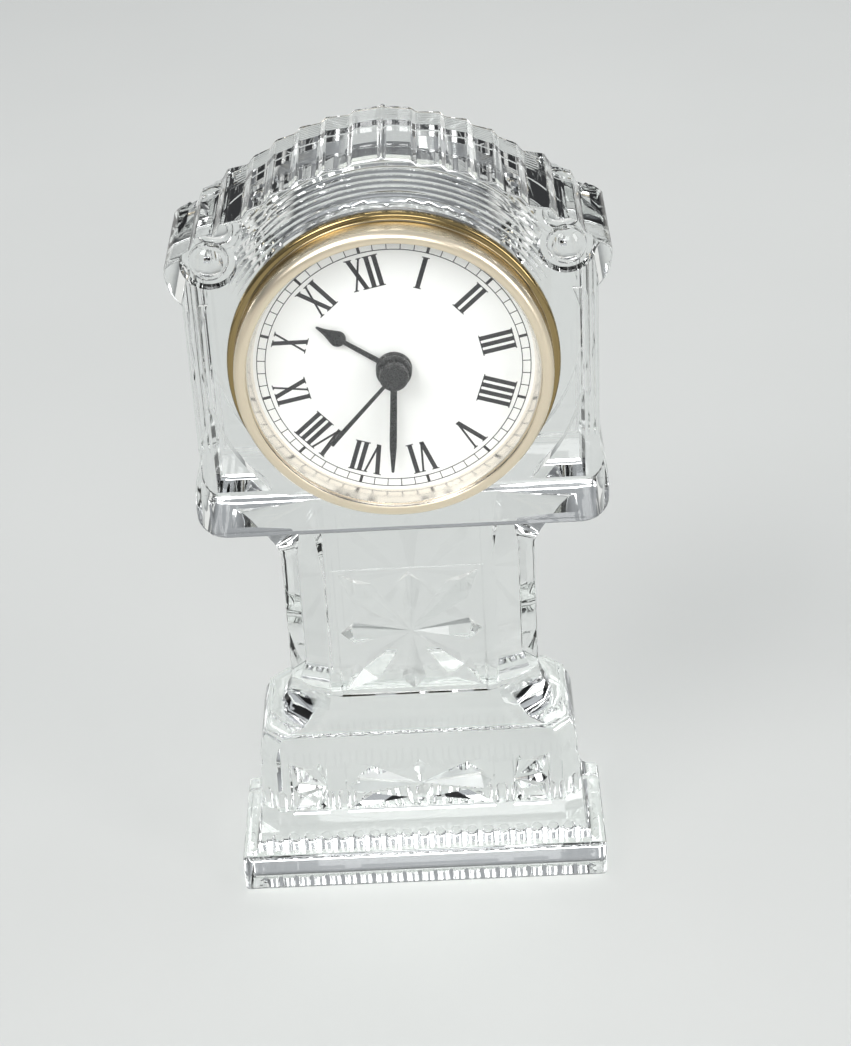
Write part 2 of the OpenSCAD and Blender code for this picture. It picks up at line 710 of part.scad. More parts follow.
// Motor frame: x out along the motor's direction, y along its coil
module on_motor() on_insert() rotate([0, 0, motor_dir]) children();
rotor_u = inter_a + rotor_a;
motor_half = 12;
stator_w = 6.2;
air_gap = 0.45;
coil_half = 6.5;
coil_z = (core_low + core_top) / 2;
core_half = 0.8;
core_in = rotor_u - 0.6;
yoke_w = 3.6;
bobbin_r = 1.3;
cheek_r = 2;
cheek_t = 0.7;
coil_gap = 1.16;
coil_u = rotor_u + stator_w / 2 + coil_gap + cheek_r;
winding_r = 1.9;
screw_v = 10.2;
motor_screw_r = 0.6;
motor_head_r = 1.2;
motor_head_h = 0.6;
motor_screw_l = 1.5;
module at_motor_screws() for (v = [-screw_v, screw_v]) translate([rotor_u + 1.1, v, 0]) children();
module stator() color("silver") on_motor() difference() {
    translate([rotor_u - stator_w / 2, -motor_half, stator_low]) cube([stator_w, 2 * motor_half, iron_t]);
    translate([rotor_u, 0, 0]) rod(magnet_r + air_gap, stator_low - eps, core_low + eps);
    at_motor_screws() rod(motor_screw_r + fit, stator_low - eps, core_low + eps);
}
// Core: a bar through the coil, with a yoke at each end that lies on the stator
module coil_core() color("silver") on_motor() difference() {
    translate([core_in, -motor_half, core_low])
        cube([coil_u + core_half - core_in, 2 * motor_half, iron_t]);
    translate([core_in - eps, -motor_half + yoke_w, core_low - eps])
        cube([coil_u - core_half - core_in + eps, 2 * (motor_half - yoke_w), iron_t + 2 * eps]);
    at_motor_screws() rod(motor_screw_r + fit, core_low - eps, core_top + eps);
}
module along_coil(low, high, r) translate([coil_u, 0, coil_z]) rotate([-90, 0, 0]) rod(r, low, high);
module coil_bobbin() color("darkgreen") on_motor() difference() {
    union() {
        along_coil(-coil_half, coil_half, bobbin_r);
        along_coil(-coil_half, -coil_half + cheek_t, cheek_r);
        along_coil(coil_half - cheek_t, coil_half, cheek_r);
    }
    translate([coil_u - core_half - fit, -coil_half - eps, core_low - fit])
        cube([2 * (core_half + fit), 2 * (coil_half + eps), iron_t + 2 * fit]);
}
module coil_winding() color("peru") on_motor() difference() {
    winding_half = coil_half - cheek_t - press;
    along_coil(-winding_half, winding_half, winding_r);
    along_coil(-coil_half, coil_half, bobbin_r + press);
}
module stator_screws() color("silver") on_motor() at_motor_screws() {
    rod(motor_head_r, stator_low - motor_head_h, stator_low);
    rod(motor_screw_r, stator_low, core_top + motor_screw_l);
}

// Posts that carry the bridge, bosses that carry the cover, and their screws
post_r = 1.6;
boss_out = 1.9;
screw_r = 0.7;
screw_head_r = 1.3;
screw_head_h = 0.8;
slot_w = 0.4;
slot_depth = 0.3;
bridge_screw_l = 2.9;
cover_screw_l = 3.5;
stem_r = 0.9;
module at_posts() for (a = [40, 140, 250]) translate(polar(case_in - 2.75, a)) children();
module at_bosses() for (a = [95, 200, 315]) translate(polar(case_in + 0.2 - boss_out, a)) children();
module at_arbors() for (p = [third_at, inter_at, rotor_at]) translate(p) children();
module screw(head_low, tip) {
    difference() {
        rod(screw_head_r, head_low, head_low + screw_head_h);
        translate([-screw_head_r - eps, -slot_w / 2, head_low - eps])
            cube([2 * (screw_head_r + eps), slot_w, slot_depth + eps]);
    }
    rod(screw_r, head_low + screw_head_h, tip);
}
module movement_case() color("dimgray") on_insert() difference() {
    union() {
        tube(case_r, case_in, cover_low, dial_low);
        rod(case_in + eps, plate_low, plate_top);
        at_posts() rod(post_r, bridge_top, plate_low + eps);
        at_bosses() rod(boss_out, cover_top, bridge_low - 0.5);
        rotate([0, 0, motor_dir]) at_motor_screws() rod(motor_head_r + 0.2, core_top, plate_low + eps);
    }
    at_posts() rod(screw_r + fit, bridge_top - eps, bridge_top + bridge_screw_l + eps);
    at_bosses() rod(screw_r + fit, cover_top - eps, cover_top + cover_screw_l + 0.5);
    rotate([0, 0, motor_dir]) at_motor_screws()
        rod(motor_screw_r + fit, core_top - eps, core_top + motor_screw_l + 0.2);
    rod(cannon_r + arbor_gap, plate_low - eps, plate_top + eps);
    translate(knob_at) rod(stem_r + arbor_gap, plate_low - eps, plate_top + eps);
    translate(minute_at) rod(arbor_r + arbor_gap, pivot_top - minute_pivot - eps, plate_top + eps);
    at_arbors() rod(arbor_r + arbor_gap, plate_low - eps, pivot_top + eps);
}
// Grip ring: a sleeve on the case with four ribs that bear on the bore
grip_low = 0;
grip_l = 7;
rib_h = 0.3;
rib_w = 0.8;
rib_pitch = 1.8;
module grip_ring() color("whitesmoke") on_insert() rotate_extrude($fn = 128) {
    sleeve_r = bore_d / 2 - grip_gap - rib_h;
    translate([case_r + fit, grip_low]) square([sleeve_r - case_r - fit, grip_l]);
    for (i = [0:3]) translate([sleeve_r - fit, grip_low + rib_w / 2 + i * rib_pitch])
        square([rib_h + fit, rib_w]);
}
module train_bridge() color("gray") on_insert() difference() {
    rod(case_in - 0.6, bridge_low, bridge_top);
    at_posts() rod(screw_r + fit, bridge_low - eps, bridge_top + eps);
    translate(knob_at) rod(stem_r + arbor_gap, bridge_low - eps, bridge_top + eps);
    rod(seconds_r + arbor_gap, pivot_low - eps, bridge_top + eps);
    at_arbors() rod(arbor_r + arbor_gap, pivot_low - eps, bridge_top + eps);
}
module bridge_screws() color("silver") on_insert() at_posts()
    screw(bridge_low - screw_head_h, bridge_top + bridge_screw_l);

// Electronics on the back of the bridge. Places are those of lower left corners
board_at = [-12, 4];
board_w = 13.5;
board_l = 11;
chip_w = 4;
chip_t = 0.8;
can_r = 1;
can_l = 6;
cell_at = [-9.5, -9.5];
cell_rim = 1.2;
cell_step = 0.6;
strip_w = 2.5;
strip_end = board_at[1] + 2;
clip_w = 3;
clip_t = 0.25;
module circuit_board() color("seagreen") on_insert()
    translate([board_at[0], board_at[1], board_low]) cube([board_w, board_l, board_t]);
module clock_chip() color("black") on_insert()
    translate([board_at[0] + 6, board_at[1] + 3.4, board_low - chip_t]) cube([chip_w, chip_w, chip_t]);
module quartz_can() color("silver") on_insert()
    translate([board_at[0] + 4, board_at[1] + board_l - 1.6, board_low - can_r])
        rotate([0, 90, 0]) cylinder(r = can_r, h = can_l, $fn = 32);
// Strips of both contacts run from the cell to the board and lie against the bridge's board level
module negative_contact() color("goldenrod") on_insert()
    translate([cell_at[0] - strip_w / 2, cell_at[1] - 2, cell_top])
        cube([strip_w, strip_end - cell_at[1] + 2, contact_t]);
module positive_contact() color("goldenrod") on_insert()
    translate([cell_at[0] + cell_d / 2, cell_at[1] - clip_w / 2, 0]) {
        clip_low = cell_low + 0.6;
        translate([0, 0, clip_low]) cube([clip_t, clip_w, cell_top + contact_t - clip_low]);
        translate([0, 0, cell_top]) cube([strip_w, strip_end - cell_at[1] + clip_w / 2, contact_t]);
    }
module button_cell() color("silver") on_insert() translate(cell_at) {
    rod(cell_d / 2, cell_low, cell_top - cell_step);
    rod(cell_d / 2 - cell_rim, cell_top - cell_step, cell_top);
}

// Cover that closes the back, with a bay round the cell
bay_wall = 1;
bay_gap = 0.15;
hatch_r = cell_d / 2 + 2 * bay_gap;
hatch_t = 0.8;
module back_cover() color("dimgray") on_insert() difference() {
    union() {
        rod(case_in - fit, cover_low, cover_top);
        translate(cell_at) rod(hatch_r + bay_wall, cover_top, cell_top - cell_rim);
    }
    translate(cell_at) rod(cell_d / 2 + bay_gap, cover_top, cell_top);
    translate(cell_at) rod(hatch_r + eps, cover_low - eps, cover_top + eps);
    translate([cell_at[0] + cell_d / 2 - 0.5, cell_at[1] - clip_w / 2 - 0.3, cover_top + eps])
        cube([clip_w, clip_w + 0.6, cell_h]);
    translate(knob_at) rod(stem_r + 0.4, cover_low - eps, cover_top + eps);
    at_bosses() {
        rod(screw_r + fit, cover_low - eps, cover_top + eps);
        rod(screw_head_r + fit, cover_low - eps, cover_low + screw_head_h);
    }
}
module cover_screws() color("silver") on_insert() at_bosses() screw(cover_low, cover_top + cover_screw_l);
// Hatch: a disc in the cover with a rim outside it, a coin slot and a stud towards the cell
coin_l = 8;
coin_w = 1.2;
coin_depth = 0.5;
stud_r = 2;
module battery_hatch() color("dimgray") on_insert() translate(cell_at) difference() {
    rim_top = cover_low - seat_gap;
    union() {
        rod(hatch_r, rim_top, cover_top);
        rod(hatch_r + bay_wall, rim_top - hatch_t, rim_top);
        rod(stud_r, cover_top, cell_low - 0.1);
    }
    translate([-coin_l / 2, -coin_w / 2, rim_top - hatch_t - eps]) cube([coin_l, coin_w, coin_depth + eps]);
}
knob_top = cover_low - 0.3;
grooves = 18;
groove_r = 0.6;
groove_depth = 0.25;
module setting_knob() color("white") on_insert() translate(knob_at) {
    toothed(cannon_teeth, motion_m, knob_first, motion_low, motion_low + cannon_h);
    rod(stem_r, knob_top, motion_low);
    difference() {
        rod(knob_d / 2, knob_top - knob_h, knob_top);
        for (a = [0:360 / grooves:359]) translate(polar(knob_d / 2 + groove_r - groove_depth, a))
            rod(groove_r, knob_top - knob_h - eps, knob_top + eps, $fn = 16);
    }
}

crystal_body();
bezel();
lens();
reflector_ring();
dial_plate();
dial_markings();
hour_hand();
minute_hand();
second_hand();
movement_case();
grip_ring();
hour_wheel();
minute_wheel();
cannon_pinion();
centre_wheel();
third_wheel();
seconds_wheel();
intermediate_wheel();
rotor();
stator();
coil_core();
coil_bobbin();
coil_winding();
stator_screws();
train_bridge();
bridge_screws();
circuit_board();
clock_chip();
quartz_can();
negative_contact();
positive_contact();
button_cell();
back_cover();
cover_screws();
battery_hatch();
setting_knob();
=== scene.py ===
# Crystal desk clock, dressed for its portrait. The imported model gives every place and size.
# Meshes are drawn in millimetres and become metres when a piece is made.
import bpy
import bmesh
from math import acos, cos, degrees, floor, pi, radians, sin, sqrt
from mathutils import Matrix, Vector


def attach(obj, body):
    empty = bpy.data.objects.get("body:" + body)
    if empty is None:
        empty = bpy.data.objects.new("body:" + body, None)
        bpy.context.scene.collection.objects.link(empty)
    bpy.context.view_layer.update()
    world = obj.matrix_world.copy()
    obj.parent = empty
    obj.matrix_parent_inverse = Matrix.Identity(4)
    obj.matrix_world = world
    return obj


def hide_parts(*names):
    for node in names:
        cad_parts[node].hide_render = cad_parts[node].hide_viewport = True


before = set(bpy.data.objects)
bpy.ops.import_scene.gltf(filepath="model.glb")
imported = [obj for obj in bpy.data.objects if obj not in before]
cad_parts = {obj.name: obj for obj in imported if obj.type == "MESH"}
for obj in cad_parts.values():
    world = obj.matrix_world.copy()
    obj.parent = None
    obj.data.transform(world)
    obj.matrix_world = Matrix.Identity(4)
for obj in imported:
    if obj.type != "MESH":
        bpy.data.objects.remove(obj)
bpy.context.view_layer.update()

# Studio: a pale table top and pale walls, lit by soft boxes. Above the pale foot of the walls
# runs a dark band that pales towards the ceiling, which is what draws the edges of glass.
mm = 0.001
table_size, air_film = 3000, 0.03
table_tones = ("#cbccc9", "#d3d4d1")
wall_foot, band_tone, ceiling_tone = "#eeeeec", "#1a1b1e", "#c4c7cb"
foot_top, band_low, ceiling = 0.06, 0.12, 0.8


def paint(code):
    """Turns an sRGB colour such as #c0ffee into the linear colour that nodes take."""
    part = [int(code[i:i + 2], 16) / 255 for i in (1, 3, 5)]
    return [c / 12.92 if c <= 0.04045 else ((c + 0.055) / 1.055) ** 2.4 for c in part] + [1]


def add(tree, kind, inputs=None, **settings):
    """Adds a node with its settings. An input is a value, an output of another node, or a whole
    node, which stands for the first of its outputs that is in use."""
    made = tree.nodes.new(kind)
    for name, value in settings.items():
        setattr(made, name, value)
    for name, value in (inputs or {}).items():
        if isinstance(value, bpy.types.Node):
            value = next(output for output in value.outputs if output.enabled)
        if isinstance(value, bpy.types.NodeSocket):
            tree.links.new(value, made.inputs[name])
        else:
            made.inputs[name].default_value = value
    return made


def emptied(owner):
    """The node tree of a material or world, with nothing in it."""
    owner.use_nodes = True
    owner.node_tree.nodes.clear()
    return owner.node_tree


def clouds(tree, place, size, detail):
    """Noise whose patches have a size in millimetres."""
    return add(tree, "ShaderNodeTexNoise", {"Vector": place, "Scale": 1000 / size, "Detail": detail})


def blend(tree, share, a, b):
    """A mix of two colours."""
    return add(tree, "ShaderNodeMix", {"Factor": share, "A": a, "B": b}, data_type="RGBA")


def ramp(tree, value, low, high, at_low=0, at_high=1):
    """Carries a range of a value over to another range, and keeps to its ends beyond it."""
    return add(tree, "ShaderNodeMapRange", {
        "Value": value, "From Min": low, "From Max": high, "To Min": at_low, "To Max": at_high})


def relief_of(tree, height, depth):
    """The normals of a relief, with a depth in millimetres."""
    return add(tree, "ShaderNodeBump", {"Height": height, "Distance": depth * mm, "Strength": 1})


def lamp(name, place, aim, w, h, watts):
    """A soft box of a width and height, at a place and aimed at another."""
    light = bpy.data.lights.new(name, "AREA")
    light.shape = "RECTANGLE"
    light.size, light.size_y = w * mm, h * mm
    light.energy = watts
    holder = bpy.data.objects.new(name, light)
    away = (Vector(place) - Vector(aim)).normalized()
    turn = away.to_track_quat("Z", "Y").to_matrix().to_4x4()
    holder.matrix_world = Matrix.Translation(Vector(place) * mm) @ turn
    bpy.context.scene.collection.objects.link(holder)


lamp("key_box", (-420, -520, 760), (0, 0, 90), 420, 420, 3.9)
lamp("front_box", (60, -620, 460), (0, 0, 110), 260, 260, 0.9)
lamp("fill_box", (620, -420, 420), (0, 0, 80), 220, 520, 1.9)
lamp("rear_box", (60, 560, 620), (0, 0, 90), 700, 220, 2.4)


def surface(name, tones, gloss, patch, relief=0, grain=0, **sockets):
    """A solid material whose tone and roughness wander between two values over patches of a size
    in millimetres, with a relief of a depth over grains of a size. Other sockets take one value.
    A grain that is too fine to show is drawn coarser, at about 0.1 to 0.2 mm."""
    material = bpy.data.materials.new(name)
    tree = emptied(material)
    place = add(tree, "ShaderNodeTexCoord").outputs["Object"]
    cloud = clouds(tree, place, patch, 3)
    tone = blend(tree, cloud, paint(tones[0]), paint(tones[1]))
    inputs = {"Base Color": tone, "Roughness": ramp(tree, cloud, 0, 1, *gloss), **sockets}
    if relief:
        inputs["Normal"] = relief_of(tree, clouds(tree, place, grain, 2), relief)
    shade = add(tree, "ShaderNodeBsdfPrincipled", inputs)
    add(tree, "ShaderNodeOutputMaterial", {"Surface": shade})
    return material


# Matt pressed laminate: a hard, even sheet that mirrors nothing, with slow clouds in its grey.
# It lies lower than the clock by a film of air, so that the two undersides never share a plane.
table_mesh = bpy.data.meshes.new("table_top")
half_table = table_size / 2
table_corners = [(-half_table, -half_table), (half_table, -half_table),
                 (half_table, half_table), (-half_table, half_table)]
table_mesh.from_pydata([(x * mm, y * mm, -air_film * mm) for x, y in table_corners], [], [(0, 1, 2, 3)])
table_top = bpy.data.objects.new("table_top", table_mesh)
bpy.context.scene.collection.objects.link(table_top)
table_mesh.materials.append(surface("matt_pressed_laminate", table_tones, gloss=(0.7, 0.8), patch=140))

room = bpy.data.worlds.new("pale_room")
bpy.context.scene.world = room
tree = emptied(room)
look = add(tree, "ShaderNodeTexCoord").outputs["Generated"]
height = add(tree, "ShaderNodeSeparateXYZ", {"Vector": look}).outputs["Z"]
walls = blend(tree, ramp(tree, height, 0, ceiling), paint(band_tone), paint(ceiling_tone))
all_round = blend(tree, ramp(tree, height, foot_top, band_low), paint(wall_foot), walls)
glow = add(tree, "ShaderNodeBackground", {"Color": all_round, "Strength": 1})
add(tree, "ShaderNodeOutputWorld", {"Surface": glow})

# Camera: the photograph was taken by hand with a compact camera, from in front and above,
# a little to the right, and slightly tilted.
photo_h, focal_px, nearest = 1046, 2367, 10
camera_place = Vector((11.1, -367.7, 297.8)) * mm
camera_yaw, camera_pitch, camera_roll = radians(-1.18), radians(31.36), radians(3.29)
camera = bpy.data.objects.new("camera", bpy.data.cameras.new("camera"))
camera.data.sensor_fit = "VERTICAL"
camera.data.sensor_height = 36
camera.data.lens = focal_px / photo_h * camera.data.sensor_height
camera.data.clip_start = nearest * mm
ahead = Vector((sin(camera_yaw) * cos(camera_pitch), cos(camera_yaw) * cos(camera_pitch), -sin(camera_pitch)))
right = Vector((cos(camera_yaw), -sin(camera_yaw), 0))
down = ahead.cross(right)
tilted_right = cos(camera_roll) * right + sin(camera_roll) * down
tilted_down = cos(camera_roll) * down - sin(camera_roll) * right
camera_axes = Matrix((tilted_right, -tilted_down, -ahead)).transposed()
camera.matrix_world = Matrix.Translation(camera_place) @ camera_axes.to_4x4()
bpy.context.scene.collection.objects.link(camera)
bpy.context.scene.camera = camera
bpy.context.scene.view_settings.view_transform = "Standard"

# Crystal body: one piece of clear lead crystal, pressed in a mould and fire polished, so that
# its edges are softly rounded and its faces have a slow, faint swell. The round hole for the
# insert is ground. It is built as the mould is: masses joined, then flutes, reeds and stars cut.

# Plinth: a flat slab with rounded edges, and on it a hollow cove, whose foot is pressed all
# round with upright flutes that end in small domes
slab_w, slab_d, slab_h, slab_round = 70, 26, 8, 0.9
block_w, block_d = 62, 23
cove_h, cove_turns = 5, 8
flute_pitch, flute_r, flute_foot, flute_short = 3.1, 1.3, 0.2, 1.5
overlap = 0.5
block_z = slab_h + cove_h

# Turns what points up until it points at the viewer
forwards = Matrix.Rotation(pi / 2, 4, "X")


def solid(points, faces):
    """A closed mesh in millimetres, as a scratch object to model with."""
    mesh = bpy.data.meshes.new("scratch")
    mesh.from_pydata([tuple(p) for p in points], [], faces)
    made = bpy.data.objects.new("scratch", mesh)
    bpy.context.scene.collection.objects.link(made)
    return made


def loft(rings):
    """Skins rings of equally many points, closed at both ends, running up with the outline
    anticlockwise as seen from the last ring."""
    n = len(rings[0])
    faces = [(k * n + i, k * n + (i + 1) % n, (k + 1) * n + (i + 1) % n, (k + 1) * n + i)
             for k in range(len(rings) - 1) for i in range(n)]
    faces += [tuple(reversed(range(n))), tuple(range((len(rings) - 1) * n, len(rings) * n))]
    return solid([p for ring in rings for p in ring], faces)


def box(x, y, z):
    """A box from three pairs of limits."""
    return loft([[(x[0], y[0], h), (x[1], y[0], h), (x[1], y[1], h), (x[0], y[1], h)] for h in z])


def turned(profile, place=Matrix(), steps=96):
    """Turns a closed outline of (radius, height) about the z axis, then puts it in place. The
    outline runs anticlockwise, and may touch the axis at its two ends."""
    points, rows = [], []
    for r, z in profile:
        if r < 1e-6:
            rows.append([len(points)] * steps)
            points.append(Vector((0, 0, z)))
        else:
            rows.append(list(range(len(points), len(points) + steps)))
            turns = [2 * pi * i / steps for i in range(steps)]
            points += [Vector((r * cos(a), r * sin(a), z)) for a in turns]
    faces = []
    for k in range(len(rows)):
        low, high = rows[k], rows[(k + 1) % len(rows)]
        for i in range(steps):
            j = (i + 1) % steps
            corner = dict.fromkeys((low[i], low[j], high[j], high[i]))
            if len(corner) > 2:
                faces.append(tuple(corner))
    return solid([place @ p for p in points], faces)


def applied(made):
    """Turns the modifiers of a scratch object into its mesh."""
    mesh = bpy.data.meshes.new_from_object(made.evaluated_get(bpy.context.evaluated_depsgraph_get()))
    made.modifiers.clear()
    made.data = mesh
    return made


def softened(made, width, segments=4, angle=24):
    """Rounds the edges that are sharper than an angle."""
    rounding = made.modifiers.new("rounding", "BEVEL")
    rounding.width = width
    rounding.segments = segments
    rounding.limit_method = "ANGLE"
    rounding.angle_limit = radians(angle)
    return applied(made)


def worked(made, how, *tools):
    """Joins or cuts a solid with others: UNION, DIFFERENCE or INTERSECT, one after another."""
    for tool in tools:
        step = made.modifiers.new("step", "BOOLEAN")
        step.operation = how
        step.solver = "MANIFOLD"
        step.object = tool
        applied(made)
        bpy.data.objects.remove(tool)
    return made


def arc(x, z, r, start, end, n):
    """Points of an arc about a middle, from one angle in degrees to another in n steps."""
    turns = [radians(start + (end - start) * i / n) for i in range(n + 1)]
    return [(x + r * cos(a), z + r * sin(a)) for a in turns]


def slab():
    return softened(box((-slab_w / 2, slab_w / 2), (-slab_d / 2, slab_d / 2), (0, slab_h)), slab_round)


def fluted_cove():
    foot_w, foot_d = slab_w / 2 - slab_round, slab_d / 2 - slab_round
    rings = []
    for i in range(cove_turns + 1):
        a = radians(90 * i / cove_turns)
        out = 1 - sin(a)
        x = block_w / 2 + (foot_w - block_w / 2) * out
        y = block_d / 2 + (foot_d - block_d / 2) * out
        z = slab_h - overlap if i == 0 else slab_h + cove_h * (1 - cos(a))
        rings.append([(-x, -y, z), (x, -y, z), (x, y, z), (-x, y, z)])
    cove = loft(rings)
    flutes = []
    along_front, along_side = floor(foot_w / flute_pitch), floor(foot_d / flute_pitch)
    for i in range(-along_front, along_front + 1):
        flutes += [(i * flute_pitch, -foot_d), (i * flute_pitch, foot_d)]
    for i in range(-along_side, along_side + 1):
        flutes += [(-foot_w, i * flute_pitch), (foot_w, i * flute_pitch)]
    flute_low, flute_high = slab_h - flute_foot, block_z - flute_short
    rounded_rod = [(0, flute_low), (flute_r, flute_low)] + arc(0, flute_high, flute_r, 0, 90, 4)[:-1]
    rounded_rod.append((0, flute_high + flute_r))
    rods = [turned(rounded_rod, Matrix.Translation((x, y, 0)), steps=16) for x, y in flutes]
    return worked(cove, "DIFFERENCE", *rods)


# Block and trunk: a chamfered block whose upper half bulges to a beaded top, a sloping shoulder
# with hollow sides, and a slim trunk that flares out again under the hood. Each mass starts a
# little inside its neighbour.
block_h, block_chamfer, block_soft = 22, 3.7, 0.3
lobe_low, lobe_w, lobe_chamfer, lobe_turns, lobe_lift = 27.5, 60, 2.9, 6, 0.4
notch_h, notch_w, notch_chamfer = 0.5, 0.8, 0.1
bead_low, bead_high, bead_out, bead_soft = 33.8, 35.5, 0.35, 0.12
shoulder_w, shoulder_chamfer, shoulder_h = 56, 3.5, 7
shoulder_in, shoulder_foot, shoulder_turns, straight_part = 0.6, 0.44, 6, 0.4
trunk_h, trunk_w, trunk_d, trunk_soft = 37.5, 46.4, 18, 0.4
trunk_face, trunk_bevel, on_bevel = 31, 5.4, 0.35
fan_x, side_flat = 17.5, 3
neck_drop, neck_out, neck_turns, neck_bend, neck_soft = 10, 7.8, 10, 0.6, 0.3
neck_wider, neck_deeper = (0.2, 0.42, 0.8, 1), (0, 0.3, 2, 4)
root = 1
shoulder_z = block_z + block_h
trunk_z = shoulder_z + shoulder_h
hood_z = trunk_z + trunk_h


def plan(quarter, z):
    """A ring at a height from one quarter of a plan, listed from the front round to the side."""
    front = [(x, -y) for x, y in quarter]
    back = [(x, y) for x, y in reversed(quarter)]
    half = front + back
    return [(x, y, z) for x, y in half + [(-x, y) for x, y in reversed(half)]]


def block_quarter(w, chamfer, inset=0):
    side, front = w / 2 - inset, block_d / 2 - inset
    return [(fan_x, front), (side - chamfer, front), (side, front - chamfer), (side, side_flat / 2)]


def trunk_quarter():
    bevel_end = (trunk_face / 2 + trunk_bevel, trunk_d / 2 - trunk_bevel)
    bevel_start = (trunk_face / 2 + on_bevel * trunk_bevel, trunk_d / 2 - on_bevel * trunk_bevel)
    return [(trunk_face / 2, trunk_d / 2), bevel_start, bevel_end, (trunk_w / 2, side_flat / 2)]


def shoulder_ring(u):
    """A ring of the shoulder, u running from 0 at the block up to 1 at the trunk. The front
    slopes evenly, and the sides flare as a hollow curve."""
    low, high = block_quarter(shoulder_w, shoulder_chamfer, shoulder_in), trunk_quarter()
    even = 1 - u
    hollow = straight_part * even + (1 - straight_part) * (1 - sqrt(max(0, 1 - even ** 2)))
    quarter = []
    for i, (a, b) in enumerate(zip(low, high)):
        share_x, share_y = even if i == 0 else hollow, even if i < 2 else hollow
        quarter.append((b[0] + (a[0] - b[0]) * share_x, b[1] + (a[1] - b[1]) * share_y))
    return plan(quarter, shoulder_z + shoulder_foot + (shoulder_h - shoulder_foot) * u)


def block():
    rings = [plan(block_quarter(block_w, block_chamfer), block_z - overlap),
             plan(block_quarter(lobe_w, lobe_chamfer), lobe_low - notch_h),
             plan(block_quarter(lobe_w - notch_w, lobe_chamfer - notch_chamfer), lobe_low)]
    for i in range(1, lobe_turns + 1):
        a = radians(90 * i / lobe_turns)
        drawn = 1 - cos(a)
        w = lobe_w + (shoulder_w - lobe_w) * drawn
        chamfer = lobe_chamfer + (shoulder_chamfer - lobe_chamfer) * drawn
        z = lobe_low + lobe_lift + (bead_low + lobe_lift - lobe_low) * sin(a)
        rings.append(plan(block_quarter(w, chamfer), z))
    rings += [shoulder_ring(i / shoulder_turns) for i in range(shoulder_turns + 1)]
    rings.append(plan(trunk_quarter(), trunk_z + root))
    return softened(loft(rings), block_soft, angle=28)


def bead():
    section = [(bead_low, 0.5), (bead_low + 0.05, 0.1), (bead_low + 0.3, -bead_out),
               (bead_high - 0.4, -bead_out), (bead_high - 0.1, 0.1), (bead_high, 0.6)]
    rings = [plan(block_quarter(shoulder_w, shoulder_chamfer, inset), z) for z, inset in section]
    return softened(loft(rings), bead_soft, segments=3)


def trunk():
    return softened(loft([plan(trunk_quarter(), z) for z in (shoulder_z, hood_z + root)]), trunk_soft)


def neck():
    """The top of the trunk, flaring in a hollow curve, most of all at its sides."""
    rings = [plan(trunk_quarter(), hood_z - neck_drop - root)]
    for i in range(neck_turns + 1):
        a = radians(90 * i / neck_turns)
        share = (1 - cos(a)) ** neck_bend
        quarter = [(x + neck_out * share * wider, y + deeper * share)
                   for (x, y), wider, deeper in zip(trunk_quarter(), neck_wider, neck_deeper)]
        rings.append(plan(quarter, hood_z - neck_drop + neck_drop * sin(a)))
    rings.append(plan(quarter, hood_z + root))
    return softened(loft(rings), neck_soft, angle=32)


# Hood: a case front with two columns, rounded caps with a ball at each end, a stepped arch with a
# small ridge on its crown, and a moulding below
hood_d, hood_span, hood_soft, dial_rise = 23.5, 74.4, 0.32, 33.3
cap_out, foot_out = 2.5, 1.5
arch_inset, arch_steps, arch_sweep = 0.8, 8, 60.4
step_drop, riser_turn, riser_growth = 0.7, 1.4, 0.035
ridge_half, ridge_rise, ridge_foot = 0.5, 0.35, 0.1
flare_from, flare = 38, 0.2
foot_round, swell_r, swell_rise, column_drop = 5, 26, 1.5, 16.3
cap_round, cap_rise, cap_edge, cap_land = 8.7, 18.5, 0.9, 0.1
bar_in, bar_proud, bar_low, bar_high, bar_soft = 1.5, 0.15, 0.1, 9.4, 1.4
ball_in, ball_rise, ball_r = 7.6, 20.1, 3.6
ball_sink, ball_root, ball_neck = 2.6, 1.5, 0.93
ring_out, ring_in, ring_cut, ring_slope, ring_over = 1.3, 0.4, 1.3, 0.5, 0.3
dial_z = hood_z + dial_rise
face = hood_d / 2
column_x = hood_span / 2 - cap_out


def upright(outline, low, high):
    """A front view outline, as (x, z) anticlockwise, made solid from low to high towards the viewer."""
    return loft([[(x, -y, z) for x, z in outline] for y in (low, high)])


def mirrored(half):
    """A whole outline from its right half, listed from the bottom middle up to the top middle."""
    return half + [(-x, z) for x, z in reversed(half) if abs(x) > 1e-6]


def arch_point(turn, growth, lift):
    """A point of the arch in front view: turn is degrees from the top, and growth is the turn
    that sets its radius."""
    r = hood_span / 2 - arch_inset + flare * max(0, growth - flare_from) + lift
    return r * sin(radians(turn)), dial_z + r * cos(radians(turn))


def hood_outline():
    foot_x = column_x + foot_out
    outline = [(0, hood_z)] + arc(foot_x - foot_round, hood_z + foot_round, foot_round, -90, 0, 8)
    outline += arc(foot_x - swell_r, hood_z + foot_round + swell_rise, swell_r, 0, 20, 8)
    outline.append((column_x, dial_z - column_drop))
    cap_turn = degrees(acos((column_x - hood_span / 2 + cap_round) / cap_round))
    outline += arc(hood_span / 2 - cap_round, dial_z + cap_rise, cap_round, -cap_turn, 0, 7)
    outline.append((hood_span / 2 - cap_land, dial_z + cap_rise + cap_edge))
    step = arch_sweep / arch_steps
    outline.append(arch_point(arch_sweep, arch_sweep, step_drop / 2))
    for k in range(arch_steps - 1, 0, -1):
        riser = k * step * (1 + riser_growth) + riser_turn
        outline.append(arch_point(riser, k * step + riser_turn, -step_drop / 2))
        outline.append(arch_point(k * step, k * step, step_drop / 2))
    crown = dial_z + hood_span / 2 - arch_inset + step_drop
    outline += [(ridge_half, crown - ridge_foot), (0, crown + ridge_rise)]
    return mirrored(outline)


